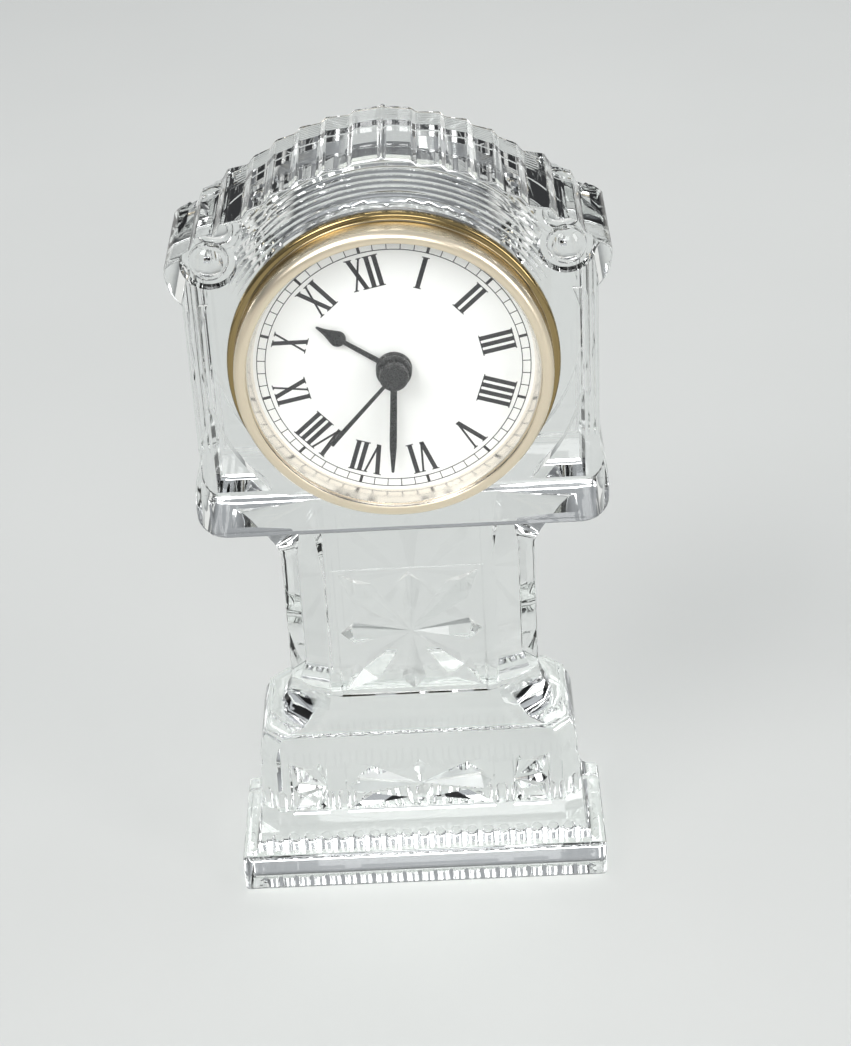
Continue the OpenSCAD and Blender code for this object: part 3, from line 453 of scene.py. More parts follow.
def facing(x, z, back=False):
    """A frame on the front or back face of the hood, with z out of that face."""
    turn = Matrix.Rotation(pi, 4, "Z") if back else Matrix()
    return turn @ Matrix.Translation((x, -face, z)) @ forwards


def hood():
    made = softened(upright(hood_outline(), -face, face), hood_soft)
    bar_x, bar_y = column_x + foot_out - bar_in, face + bar_proud
    bar = box((-bar_x, bar_x), (-bar_y, bar_y), (hood_z + bar_low, hood_z + bar_high))
    worked(made, "UNION", softened(bar, bar_soft))
    ball = [(0, -ball_root), (ball_r * ball_neck, -ball_root)] + arc(0, -ball_sink, ball_r, 18, 90, 10)[:-1]
    ball.append((0, ball_r - ball_sink))
    moat = [(ball_r - ring_in, -ring_cut), (ball_r + ring_out - ring_slope, -ring_cut),
            (ball_r + ring_out, ring_over), (ball_r - ring_in, ring_over)]
    for back in (False, True):
        for x in (-hood_span / 2 + ball_in, hood_span / 2 - ball_in):
            place = facing(x, dial_z + ball_rise, back)
            worked(made, "DIFFERENCE", turned(moat, place, steps=64))
            worked(made, "UNION", turned(ball, place, steps=64))
    return made


# Cuts of the hood: the ground bore, the pockets between its boss and the columns, the round reeds
# over the dial, and two fine grooves down each column
bezel_r = 28.2
bore_r, bore_flare, bore_chamfer, bore_past = 25, 0.9, 0.35, 1
boss_r, column_w = 32.8, 2.7
pocket_depth, pocket_low, pocket_high, pocket_steps = 3, 23.6, 12.2, 12
pocket_walls = ((-0.5, 1.06), (pocket_depth - 0.5, 0.9), (pocket_depth, 0.78))
reeds, reed_start, reed_pitch, reed_half = 7, 0.7, 1, 0.45
reed_depth, reed_over, reed_steps = 0.5, 0.1, 64
long_reeds, long_reach, short_reach, shallow_end, run_in = 5, 61, 50, 0.1, 6
column_lines, line_half, line_depth = (0.9, 2.0), 0.3, 0.35
line_foot, line_top = 0.5, 12
groove_end, groove_thin, groove_over = 1.2, 0.25, 0.05


def facing_out(rings):
    """Lofts rings and turns the faces of the solid outwards, whichever way the rings run."""
    made = loft(rings)
    work = bmesh.new()
    work.from_mesh(made.data)
    bmesh.ops.recalc_face_normals(work, faces=work.faces)
    work.to_mesh(made.data)
    work.free()
    return made


def joined(pieces):
    """Puts several solids that don't run into each other into one mesh."""
    points, faces = [], []
    for piece in pieces:
        start = len(points)
        points += [v.co.copy() for v in piece.data.vertices]
        faces += [[start + i for i in f.vertices] for f in piece.data.polygons]
        bpy.data.objects.remove(piece)
    return solid(points, faces)


def pocket(low, high, front):
    """A pocket between boss and column, from one height to another, with sloping walls."""
    inner = column_x - column_w
    near, far = sorted((low, high), key=abs)
    meet = sqrt(boss_r ** 2 - inner ** 2)
    start = max(meet, abs(near)) * (1 if far > 0 else -1)
    heights = [start + (far - start) * i / pocket_steps for i in range(1, pocket_steps + 1)]
    outline = [(inner, far), (inner, start)] + [(sqrt(boss_r ** 2 - h * h), h) for h in heights]
    mid_x = sum(x for x, z in outline) / len(outline)
    mid_z = sum(z for x, z in outline) / len(outline)
    return [[(mid_x + (x - mid_x) * size, front * (face - depth), dial_z + mid_z + (z - mid_z) * size)
             for x, z in outline] for depth, size in pocket_walls]


def pockets():
    made = []
    for front in (-1, 1):
        for side in (-1, 1):
            for low, high in ((-pocket_low, 0), (0, pocket_high)):
                rings = [[(side * x, y, z) for x, y, z in ring] for ring in pocket(low, high, front)]
                made.append(facing_out(rings))
    return made


def reed_cutters():
    """V grooves round the dial centre, kept between the two caps."""
    made = []
    for front in (-1, 1):
        for i in range(reeds):
            r = bezel_r + reed_start + reed_pitch * i
            half = radians(long_reach if i < long_reeds else short_reach)
            rings = []
            for k in range(reed_steps + 1):
                a = pi / 2 - half + 2 * half * k / reed_steps
                full = min(1, run_in * k / reed_steps, run_in * (reed_steps - k) / reed_steps)
                deep = reed_over + reed_depth * (full * (1 - shallow_end) + shallow_end)
                rings.append([((r + dr) * cos(a), front * (face + reed_over - d), dial_z + (r + dr) * sin(a))
                              for dr, d in ((-reed_half, 0), (0, deep), (reed_half, 0))])
            made.append(facing_out(rings))
    return joined(made)


def groove(a, b, half, depth, front):
    """A V groove in the front or back face of the hood, between two points in front view."""
    along = Vector((b[0] - a[0], b[1] - a[1])).normalized()
    across = Vector((-along.y, along.x)) * half
    stations = ((a, groove_thin), (Vector(a) + along * groove_end, 1),
                (Vector(b) - along * groove_end, 1), (b, groove_thin))
    return facing_out([[(p[0] + across.x * s * size, front * (face + groove_over - d * size),
                         p[1] + across.y * s * size)
                        for s, d in ((-1, 0), (0, depth + groove_over), (1, 0))] for p, size in stations])


def column_grooves():
    made = []
    for front in (-1, 1):
        for side in (-1, 1):
            for inset in column_lines:
                x = side * (column_x - inset)
                foot, top = (x, dial_z - column_drop + line_foot), (x, dial_z + line_top)
                made.append(groove(foot, top, line_half, line_depth, front))
    return joined(made)


# Star panels: four sunk panels on the front, each filled by a star of hollow facets. The wide
# star's rays touch. The stars beside it are halves, with their middles on their panels' inner edges.
panel_depth = 0.5
panel_walls = ((0, -0.2), (panel_depth, 0.1), (panel_depth + 0.4, 0.18))
trunk_panel, block_panel, side_panel, side_panel_x = (27, 27.5), (28, 11.8), (6.8, 11.8), 21
trunk_panel_foot, block_panel_rise, side_edge = 0.3, 10, 0.1
sill_h, sill_out, sill_drop, sill_skin = 4.4, 0.2, 0.1, 0.02
kite_land, kite_over = 0.15, 0.05
upright_ray, slanting_ray = (13.1, 0.8, 2.4, 0.84, 1.7), (18.2, 0.66, 2.9, 0.72, 1.9)


def kite(middle, left, tip, right, bottom, depth, side=1):
    """A hollow of four flat facets that meet at a bottom point, under a kite in a panel's floor.
    Its corners are drawn in a little, which leaves a narrow land between two kites."""
    deep = Vector((side * bottom[0], bottom[1], -depth))
    rim = []
    for x, y in (middle, right, tip, left) if side > 0 else (middle, left, tip, right):
        out = Vector((side * x - deep.x, y - deep.y, 0))
        corner = out - out.normalized() * kite_land + Vector((0, 0, depth))
        rim.append(deep + corner * (1 + kite_over / depth))
    return solid(rim + [deep], [(0, 1, 2, 3), (1, 0, 4), (2, 1, 4), (3, 2, 4), (0, 3, 4)])


def even_ray(turn, reach, wide, half, low, depth):
    """A kite out from the middle, whose widest and deepest places are at shares of its reach."""
    a = radians(turn)
    out, across = Vector((cos(a), sin(a))), Vector((-sin(a), cos(a)))
    places = ((0, 0), (wide, half), (1, 0), (wide, -half), (low, 0))
    return kite(*[out * reach * share + across * w for share, w in places], depth)


def trunk_star():
    upright_rays = [even_ray(turn, *upright_ray) for turn in (0, 90, 180, 270)]
    return upright_rays + [even_ray(turn, *slanting_ray) for turn in (45, 135, 225, 315)]


def block_star():
    rays = [kite((0, 0), (-1.4, 3.9), (0, 5.7), (1.4, 3.9), (0, 4.2), 1.2),
            kite((0, 0), (1.2, -3.2), (0, -4.7), (-1.2, -3.2), (0, -3.4), 1.1)]
    for side in (-1, 1):
        rays.append(kite((0, 0), (2.1, 3.3), (13.4, 5.5), (12, 2.1), (9, 3.35), 1.5, side))
        rays.append(kite((0, 0), (12, 2.1), (13.7, 0), (12, -2.1), (11.5, 0), 1.6, side))
        rays.append(kite((0, 0), (12, -2.1), (13.4, -5.2), (2.1, -3.3), (9, -3.25), 1.5, side))
    return rays


def side_star(side):
    edge = -side_panel[0] / 2 + side_edge
    fans = [((0, 0), (0.3, 4.5), (1.2, 5.6), (1.7, 4.4), (1, 4.5), 0.9),
            ((0, 0), (2.1, 4.2), (6.4, 5.5), (5.5, 1.3), (4.4, 3.2), 1.4),
            ((0, 0), (5.5, 1.3), (6.5, 0), (5.5, -1.3), (5.2, 0), 1.2),
            ((0, 0), (5.5, -1.3), (6.4, -5.4), (2.1, -4.2), (4.4, -3.1), 1.4),
            ((0, 0), (1.7, -4.4), (1.2, -5.6), (0.3, -4.5), (1, -4.5), 0.9)]
    return [kite(*[(x + edge, y) for x, y in fan[:5]], fan[5], side) for fan in fans]


def panel_cutters(x, z, depth, panel, rays):
    """The sunk panel and the rays of its star, in the front face."""
    place = Matrix.Translation((x, -depth / 2 + panel_depth, z)) @ forwards
    rings = []
    for d, wider in panel_walls:
        w, h = panel[0] / 2 + wider, panel[1] / 2 + wider
        rings.append([(-w, -h, d), (w, -h, d), (w, h, d), (-w, h, d)])
    tools = [loft(rings)] + rays
    for tool in tools:
        tool.data.transform(place)
    return tools


def sill():
    """The slope that is cut above the trunk's panel."""
    low, front = trunk_z + trunk_panel_foot + trunk_panel[1], -trunk_d / 2
    section = [(front - sill_out, low - sill_drop), (front + panel_depth, low - sill_drop),
               (front - sill_skin, low + sill_h), (front - sill_out, low + sill_h)]
    return facing_out([[(x, y, z) for y, z in section] for x in (-trunk_panel[0] / 2, trunk_panel[0] / 2)])


# The whole crystal: all masses joined into one, and then cut. Lead crystal is clear, heavy and
# bends light strongly, so that its edges flash bright and dark.
def crystal():
    made = worked(slab(), "UNION", fluted_cove(), block(), bead(), trunk(), neck(), hood())
    bore_profile = [(0, -face - bore_past), (bore_r + bore_flare, -face - bore_past),
                    (bore_r, -face + bore_chamfer), (bore_r, face - bore_chamfer),
                    (bore_r + bore_flare, face + bore_past), (0, face + bore_past)]
    bore = turned(bore_profile, Matrix.Translation((0, 0, dial_z)) @ forwards, steps=128)
    worked(made, "DIFFERENCE", bore, *pockets())
    worked(made, "DIFFERENCE", reed_cutters())
    worked(made, "DIFFERENCE", column_grooves())
    trunk_panel_z = trunk_z + trunk_panel_foot + trunk_panel[1] / 2
    block_panel_z = block_z + block_panel_rise
    panels = [panel_cutters(0, trunk_panel_z, trunk_d, trunk_panel, trunk_star()),
              panel_cutters(0, block_panel_z, block_d, block_panel, block_star())]
    for side in (-1, 1):
        panels.append(panel_cutters(side * side_panel_x, block_panel_z, block_d, side_panel, side_star(side)))
    for k in range(max(len(tools) for tools in panels)):
        worked(made, "DIFFERENCE", joined([tools[k] for tools in panels if k < len(tools)]))
    return worked(made, "DIFFERENCE", sill())


def make_piece(name, scratch, body, place=Matrix(), smooth=24):
    """Turns a scratch solid in millimetres into a piece in metres that rides on a body."""
    mesh = scratch.data
    mesh.materials.clear()
    mesh.transform(Matrix.Scale(mm, 4) @ place)
    mesh.shade_smooth()
    mesh.set_sharp_from_angle(angle=radians(smooth))
    scratch.name = mesh.name = name
    weighing = scratch.modifiers.new("weighing", "WEIGHTED_NORMAL")
    weighing.keep_sharp = True
    applied(scratch)
    scratch.data.name = name
    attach(scratch, body)
    return scratch


crystal_body = make_piece("pressed_crystal", crystal(), "crystal")
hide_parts("crystal_body")


def clear(name, tint, shadow, ior, patch, swell, haze):
    """A glass that waves by a depth over patches of a size in millimetres, and is hazy in places.
    Lamps shine through it, dimmed by its shadow tone, onto what lies behind."""
    material = bpy.data.materials.new(name)
    tree = emptied(material)
    slow = clouds(tree, add(tree, "ShaderNodeTexCoord").outputs["Object"], patch, 1)
    waver = relief_of(tree, slow, swell)
    glass = add(tree, "ShaderNodeBsdfPrincipled", {
        "Base Color": paint(tint), "Roughness": ramp(tree, slow, 0, 1, 0, haze), "IOR": ior,
        "Transmission Weight": 1, "Normal": waver})
    through = add(tree, "ShaderNodeBsdfTransparent", {"Color": paint(shadow)})
    to_lamp = add(tree, "ShaderNodeLightPath").outputs["Is Shadow Ray"]
    both = add(tree, "ShaderNodeMixShader", {"Fac": to_lamp, 1: glass, 2: through})
    add(tree, "ShaderNodeOutputMaterial", {"Surface": both})
    return material


# Fire-polished lead crystal: very smooth and all but free of colour, with a slow swell left by
# the mould, which makes what is seen through it waver a little
crystal_body.data.materials.append(clear(
    "fire_polished_lead_crystal", tint="#f6f8f7", shadow="#e9ebeb", ior=1.545,
    patch=9, swell=0.006, haze=0.02))

# Insert: a ready-made quartz clock, pressed into the bore by hand, and here turned a little from
# upright. It is drawn in its own frame, from the middle of the crystal, with x to the right, y
# up and z out towards the viewer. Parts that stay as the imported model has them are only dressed.
insert_turn = 12.2
insert_place = Matrix.Translation((0, 0, dial_z)) @ forwards @ Matrix.Rotation(radians(insert_turn), 4, "Z")


def dress(node, material):
    """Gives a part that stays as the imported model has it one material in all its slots."""
    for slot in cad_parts[node].material_slots:
        slot.material = material


# Bezel: one turned brass ring under clear gold lacquer. The flange is polished, and the raised ring keeps the
# fine circular lines of its turning, so that it looks softer.
# The ring's paler tone and the flange's much darker tone are painted: painted shade for the dark reflections
# in the flange's polish.
bezel_low, bezel_top, dial_top = face + 0.1, face + 6.2, face + 1.2
ring_r, ring_outer, case_r = 25.1, 26.9, 24.25
case_gap, bore_gap, collar_h = 0.05, 0.12, 3.2
flange_edge, flange_fillet, flange_rise = 0.2, 0.75, 0.65
hollow_fillet, hollow_rise = 0.4, 1.78
ring_fillet, lip_fillet, lip_h = 1.5, 0.2, 0.5
# The flange's tones are painted shade: the same brass as the ring, drawn darker for the dark reflections that
# its polish shows
ring_tones, flange_painted_shade_tones = ("#ecdcc0", "#f6ead4"), ("#8d7a50", "#a8946a")
turning_pitch, turning_depth = 0.12, 0.004
polish, satin_finish, polish_ends, satin_starts = 0.1, 0.3, 0.2, 0.1
bezel_profile = [(case_r + case_gap, bezel_low - collar_h), (bore_r - bore_gap, bezel_low - collar_h),
                 (bore_r - bore_gap, bezel_low)]
bezel_profile += arc(bezel_r - flange_edge, bezel_low + flange_edge, flange_edge, -90, 0, 3)
bezel_profile += arc(bezel_r - flange_fillet, bezel_low + flange_rise, flange_fillet, 0, 78, 9)
bezel_profile += arc(ring_outer + hollow_fillet, bezel_low + hollow_rise, hollow_fillet, 270, 180, 5)
bezel_profile += arc(ring_outer - ring_fillet, bezel_top - ring_fillet, ring_fillet, 4, 88, 16)
bezel_profile += arc(ring_r - lip_fillet / 2, bezel_top - lip_fillet, lip_fillet, 90, 250, 7)
bezel_profile += [(ring_r, bezel_top - lip_h), (ring_r, dial_top), (case_r + case_gap, dial_top)]
bezel = make_piece("turned_bezel", turned(bezel_profile, steps=256), "insert", insert_place)
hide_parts("bezel")

# Gold-lacquered turned brass: warm metal, whose turning lines run round the dial's axis. They are
# drawn 0.12 mm apart, which is coarser than the tool's feed, so that they show as a satin sheen.
lacquered = bpy.data.materials.new("gold_lacquered_turned_brass")
tree = emptied(lacquered)
place = add(tree, "ShaderNodeTexCoord").outputs["Object"]
from_axis = add(tree, "ShaderNodeVectorMath", {0: place, 1: (0, 0, dial_z * mm)}, operation="SUBTRACT")
flat = add(tree, "ShaderNodeVectorMath", {0: from_axis, 1: (1, 0, 1)}, operation="MULTIPLY")
radius = add(tree, "ShaderNodeVectorMath", {0: flat}, operation="LENGTH")
lines = add(tree, "ShaderNodeTexNoise", {"W": radius, "Scale": 1000 / turning_pitch, "Detail": 2},
            noise_dimensions="1D")
satin_from, polish_to = (ring_outer - satin_starts) * mm, (ring_outer + polish_ends) * mm
satin = ramp(tree, radius, polish_to, satin_from, polish, satin_finish)
# outer is the flange's share, where the tone of painted shade takes over from the ring's tone
outer = ramp(tree, radius, satin_from, polish_to)
ring_tone = blend(tree, lines, paint(ring_tones[0]), paint(ring_tones[1]))
flange_painted_shade_tone = blend(tree, lines, paint(flange_painted_shade_tones[0]), paint(flange_painted_shade_tones[1]))
tone = blend(tree, outer, ring_tone, flange_painted_shade_tone)
metal = add(tree, "ShaderNodeBsdfPrincipled", {
    "Base Color": tone, "Metallic": 1, "Roughness": satin, "Normal": relief_of(tree, lines, turning_depth)})
add(tree, "ShaderNodeOutputMaterial", {"Surface": metal})
bezel.data.materials.append(lacquered)

# Lens: a domed clear glass, ground at its rim and clipped behind the lip of the bezel. It is
# thin, even and almost without swell, so that the dial reads straight through it.
lens_r, lens_low, lens_high, lens_rim = 25.05, bezel_top - 1.25, bezel_top - 0.55, 0.15
lens_rise, lens_inside, lens_steps = 2.5, 2.0, 24


def dome(rim, low, rise, steps):
    """Points (radius, height) of a shallow dome, from its rim to its middle."""
    r = (rim * rim + rise * rise) / (2 * rise)
    radii = [rim * (1 - i / steps) for i in range(steps + 1)]
    return [(x, low + rise - r + sqrt(r * r - x ** 2)) for x in radii]


lens_profile = list(reversed(dome(lens_r - lens_rim, lens_low, lens_inside, lens_steps)))
lens_profile += [(lens_r, lens_low + lens_rim)] + dome(lens_r, lens_high, lens_rise, lens_steps)
lens = make_piece("domed_lens", turned(lens_profile, steps=192), "insert", insert_place, smooth=50)
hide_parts("lens")
lens.data.materials.append(clear(
    "clear_ground_glass", tint="#fdfefe", shadow="#f9fafa", ior=1.5,
    patch=12, swell=0.002, haze=0.015))

# Reflector ring: turned aluminium, anodised champagne, a slope between the lens and the dial.
# The anodising is pale and smooth enough to mirror the minute track in a soft blur.
track_r = 23.05
reflector_foot, reflector_gap, reflector_lip, reflector_edge = 0.6, 0.05, 0.62, 0.15
reflector_profile = [(track_r + reflector_foot, dial_top), (ring_r - reflector_gap, dial_top),
                     (ring_r - reflector_gap, lens_low)]
reflector_profile += arc(ring_r - reflector_lip, lens_low - reflector_edge, reflector_edge, 70, 170, 5)
reflector = make_piece("reflector_ring_turned", turned(reflector_profile, steps=192), "insert", insert_place)
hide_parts("reflector_ring")
reflector.data.materials.append(surface(
    "champagne_anodised_aluminium", ("#f3eadd", "#fbf5ec"), gloss=(0.21, 0.26), patch=2.5,
    Metallic=1))

# Dial: a thin metal disc, sprayed and baked. The enamel is warm white and a little glossy, and
# has the faint orange peel of sprayed paint.
dress("dial_plate", surface(
    "white_baked_enamel", ("#f4f3f0", "#f9f8f5"), gloss=(0.3, 0.4), patch=12,
    relief=0.002, grain=0.6))

# Dial printing: a minute track and twelve Roman numerals with their feet to the middle, pad
# printed in one dark ink. It is a film with a real thickness and crisp edges, and dries matt.
ink_t, ink_root = 0.03, 0.01
track_w, line_w, bold_w, tick_gap = 1.55, 0.14, 0.5, 0.01
numeral_r, numeral_h, thick, thin = 20.8, 5.8, 0.78, 0.36
serif, serif_out, bracket = 0.17, 0.26, 0.14
v_lean, x_lean = 0.56, 0.95
marks = {"I": 1.3, "V": 2.9, "X": 3.0}
numerals = ("XII", "I", "II", "III", "IIII", "V", "VI", "VII", "VIII", "IX", "X", "XI")


def stroke(x, lean, w, foot=True):
    """A stroke of a numeral with its serifs. It leans out by lean at its head and in at its foot."""
    def at(side, out, z):
        return x + side * (w / 2 + out) + lean * (2 * z / numeral_h - 1), z

    def half_serif(side):
        return [(side, 0, serif + bracket), (side, bracket * 0.5, serif), (side, serif_out, serif),
                (side, serif_out, 0)]

    outline = [at(-1, 0, 0), at(1, 0, 0)]
    if foot:
        outline = [at(*corner) for corner in half_serif(-1) + half_serif(1)[::-1]]
    head = half_serif(1) + half_serif(-1)[::-1]
    return outline + [at(side, out, numeral_h - z) for side, out, z in head]


def numeral(text):
    """The outlines of a numeral, centred, with its foot at height 0."""
    outlines, x = [], -sum(marks[m] for m in text) / 2
    for m in text:
        middle = x + marks[m] / 2
        if m == "I":
            outlines.append(stroke(middle, 0, thick))
        elif m == "V":
            outlines.append(stroke(middle - v_lean, -v_lean, thick, False))
            outlines.append(stroke(middle + v_lean, v_lean, thin, False))
        else:
            outlines.append(stroke(middle, -x_lean, thick))
            outlines.append(stroke(middle, x_lean, thin))
        x += marks[m]
    return outlines


def printed(outline, turn, lift):
    """An outline on the dial as a thin solid of ink, moved out by lift and turned clockwise."""
    place = Matrix.Rotation(-radians(turn), 4, "Z") @ Matrix.Translation((0, lift, dial_top))
    made = loft([[(x, y, z) for x, y in outline] for z in (-ink_root, ink_t)])
    made.data.transform(place)
    return made


printing = []
for r in (track_r, track_r - track_w + line_w):
    ring = [(r - line_w, -ink_root), (r, -ink_root), (r, ink_t), (r - line_w, ink_t)]
    printing.append(turned(ring, Matrix.Translation((0, 0, dial_top)), steps=240))
for i in range(60):
    half, tall = (bold_w if i % 5 == 0 else line_w) / 2, track_w - 2 * tick_gap
    tick = [(-half, 0), (half, 0), (half, tall), (-half, tall)]
    printing.append(printed(tick, 6 * i, track_r - track_w + tick_gap))
for i, text in enumerate(numerals):
    for outline in numeral(text):
        printing.append(printed(outline, 30 * i, numeral_r - numeral_h))
print_piece = make_piece("dial_print", joined(printing), "insert", insert_place)
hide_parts("dial_markings")
print_piece.data.materials.append(surface(
    "pad_printed_ink", ("#121014", "#1d1a1e"), gloss=(0.45, 0.55), patch=0.3))

# Hands: blades pressed from thin brass sheet and painted satin black, on turned collets with
# rounded edges. The hour hand has a spade head, the others are tapered batons. The paint shows
# soft lights on its edges and a fine grain.
shown_hour, shown_minute, shown_second = 10, 32, 39
minute_turn = 6 * (shown_minute + shown_second / 60)
hour_turn = 30 * (shown_hour + minute_turn / 360)
second_turn = 6 * shown_second
hour_z, minute_z, second_z = dial_top + 0.2, dial_top + 1.25, dial_top + 2.45
blade_t, blade_soft = 0.25, 0.05
satin_black = surface(
    "satin_black_paint", ("#0b0b0d", "#151517"), gloss=(0.22, 0.32), patch=0.4,
    relief=0.001, grain=0.1)


def hand(name, turn, outline, blade_z, collet, body, node):
    """A hand from the outline of its blade and the profile of its collet."""
    blade = loft([[(x, y, z) for x, y in outline] for z in (blade_z, blade_z + blade_t)])
    made = worked(turned(collet, steps=96), "UNION", softened(blade, blade_soft, segments=2))
    piece = make_piece(name, made, body, insert_place @ Matrix.Rotation(-radians(turn), 4, "Z"))
    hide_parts(node)
    piece.data.materials.append(satin_black)


spade = [(0, 2.8), (0.47, 2.8), (0.38, 9.75)] + arc(0, 10.95, 1.42, -70, 18, 10)
spade += [(1.05, 12.1), (0.72, 12.9), (0.42, 13.8), (0.2, 14.9), (0.1, 15.08), (0, 15.1)]
hour_collet = [(1.6, hour_z), (2.9, hour_z), (3.05, hour_z + 0.15)] + arc(2.8, hour_z + 0.55, 0.25, 0, 90, 4)
hour_collet.append((1.6, hour_z + 0.8))
hand("hour_hand_spade", hour_turn, mirrored(spade), hour_z + 0.4, hour_collet, "hours", "hour_hand")
baton = [(0, 2.7), (0.55, 2.7), (0.62, 12.5), (0.6, 14.5), (0.24, 19.2), (0.15, 19.3), (0, 19.3)]
minute_collet = [(0.97, minute_z), (2.85, minute_z), (3, minute_z + 0.15)]
minute_collet += arc(2.65, minute_z + 0.6, 0.35, 0, 90, 6) + [(0.97, minute_z + 0.95)]
hand("minute_hand_baton", minute_turn, mirrored(baton), minute_z + 0.5, minute_collet, "minutes",
     "minute_hand")
pointer = [(0, 2.1), (0.3, 2.1), (0.36, 11), (0.44, 16.8), (0.38, 17), (0, 17)]
second_collet = [(0, second_z), (2.3, second_z), (2.45, second_z + 0.15)]
second_collet += arc(2.0, second_z + 1.38, 0.45, 0, 80, 8)
second_collet += [(1.75, second_z + 1.83), (1.6, second_z + 1.76), (0, second_z + 1.76)]
hand("second_hand_baton", second_turn, mirrored(pointer), second_z + 0.6, second_collet, "seconds",
     "second_hand")

# Movement case: a cup of black ABS, moulded in a spark-eroded tool, which leaves a fine matt
# grain that scatters the light and keeps the black from looking wet
dress("movement_case", surface(
    "spark_eroded_abs", ("#26272a", "#323336"), gloss=(0.42, 0.58), patch=3,
    relief=0.004, grain=0.15))

# Grip ring: moulded with four rounded ribs and stretched over the case. It presses into the
# ground bore and holds the insert by friction. Silicone rubber is soft white, with a dull skin.
grip_inner, sleeve_r, rib_out, grip_l = case_r + case_gap, 24.65, 0.3, 7
rib_w, rib_pitch, ribs, rib_steps = 0.8, 1.8, 4, 6
grip_profile = [(grip_inner, 0), (sleeve_r, 0)]
for i in range(ribs):
    rib_low = rib_w / 2 + i * rib_pitch
    rib_turns = [pi * k / rib_steps for k in range(rib_steps + 1)]
    grip_profile += [(sleeve_r + rib_out * sin(a), rib_low + rib_w / 2 * (1 - cos(a))) for a in rib_turns]
grip_profile += [(sleeve_r, grip_l), (grip_inner, grip_l)]
grip = make_piece("ribbed_grip_ring", turned(grip_profile, steps=192), "grip", insert_place)
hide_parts("grip_ring")
grip.data.materials.append(surface(
    "moulded_silicone_rubber", ("#dddcd6", "#e9e8e3"), gloss=(0.45, 0.6), patch=5,
    relief=0.003, grain=0.2))

# Back cover: a black ABS moulding with a rounded edge and a round bay for the cell, screwed on
# from behind. A raised arrow beside the knob shows which way the hands are set. Its tool was
# etched with a grain, drawn at 0.2 mm, which greys the black at a slant.
cover_r, cover_low, cover_top, cover_edge = 23.0, -6.75, -5.65, 0.4
cell_at, knob_at = (-9.5, -9.5), (4.8, 8.31)
hatch_r, bay_r, bay_bore, bay_top = 6.1, 7.1, 5.95, -0.85
clip_x, clip_w, clip_gap, clip_floor, stem_hole = 5.3, 3, 0.3, 0.05, 1.3
screw_ring_r, screw_ring_turns = 21.35, (95, 200, 315)
head_r, head_h, shank_r, shank_tip, screw_gap = 1.3, 0.8, 0.7, cover_top + 3.5, 0.05
arrow_r, arrow_half, arrow_rise = 6, 0.45, 0.4
arrow_head, arrow_point, arrow_steps = 2.4, 13, 20
past = 0.1
screw_places = [(screw_ring_r * cos(radians(a)), screw_ring_r * sin(radians(a))) for a in screw_ring_turns]


def disc(r, low, high, at=(0, 0), steps=96):
    """A plain round solid about an upright axis of the insert."""
    return turned([(0, low), (r, low), (r, high), (0, high)], Matrix.Translation((*at, 0)), steps)


def arrow(at, start, end, low, high):
    """A raised arrow, bent round a point from one angle in degrees to another."""
    outer = [(arrow_r + arrow_half, start + (end - start) * i / arrow_steps) for i in range(arrow_steps + 1)]
    inner = [(arrow_r - arrow_half, end + (start - end) * i / arrow_steps) for i in range(arrow_steps + 1)]
    head = [(arrow_r + arrow_head * arrow_half, end), (arrow_r, end + arrow_point),
            (arrow_r - arrow_head * arrow_half, end)]
    outline = [(at[0] + q * cos(radians(a)), at[1] + q * sin(radians(a))) for q, a in outer + head + inner]
    return facing_out([[(x, y, z) for x, y in outline] for z in (low, high)])


cover_profile = [(0, cover_low)] + arc(cover_r - cover_edge, cover_low + cover_edge, cover_edge, -90, 0, 5)
cover_profile += [(cover_r, cover_top), (0, cover_top)]
cover = worked(turned(cover_profile, steps=128), "UNION", disc(bay_r, cover_top - past, bay_top, cell_at),
               arrow(knob_at, 20, 150, cover_low - arrow_rise, cover_low + past))
clip_slot = box((cell_at[0] + clip_x, cell_at[0] + clip_x + clip_w),
                (cell_at[1] - clip_w / 2 - clip_gap, cell_at[1] + clip_w / 2 + clip_gap),
                (cover_top + clip_floor, 0))
worked(cover, "DIFFERENCE", disc(bay_bore, cover_top, bay_top + past, cell_at),
       disc(hatch_r, cover_low - past, cover_top + past, cell_at), clip_slot,
       disc(stem_hole, cover_low - past, cover_top + past, knob_at, 48))
recess_r, clear_r = head_r + screw_gap, shank_r + screw_gap
recess = [(0, cover_low - past), (recess_r, cover_low - past), (recess_r, cover_low + head_h),
          (clear_r, cover_low + head_h), (clear_r, cover_top + past), (0, cover_top + past)]
for at in screw_places:
    worked(cover, "DIFFERENCE", turned(recess, Matrix.Translation((*at, 0)), steps=48))
back_cover = make_piece("moulded_back_cover", cover, "insert", insert_place, smooth=35)
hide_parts("back_cover")
back_cover.data.materials.append(surface(
    "grained_black_abs", ("#2b2c2f", "#38393c"), gloss=(0.38, 0.55), patch=4,
    relief=0.006, grain=0.2))

# Cover screws: three cheese-head screws, turned from mild steel and nickel plated, which gives a
# warm grey shine with soft reflections. They sit in the cover's recesses, each stopped at its
# own turn.
head_soft, shank_point, slot_w, slot_deep = 0.2, 0.3, 0.4, 0.3
screw_profile = [(0, cover_low)] + arc(head_r - head_soft, cover_low + head_soft, head_soft, -90, 0, 4)
screw_profile += [(head_r, cover_low + head_h), (shank_r, cover_low + head_h),
                  (shank_r, shank_tip - shank_point), (shank_r - shank_point, shank_tip), (0, shank_tip)]
screw_set = []
for at, turn in zip(screw_places, (24, 81, 137)):
    screw_slot = box((-head_r - past, head_r + past), (-slot_w / 2, slot_w / 2),
                     (cover_low - past, cover_low + slot_deep))
    screw = worked(turned(screw_profile, steps=48), "DIFFERENCE", screw_slot)
    screw.data.transform(Matrix.Translation((*at, 0)) @ Matrix.Rotation(radians(turn), 4, "Z"))
    screw_set.append(screw)
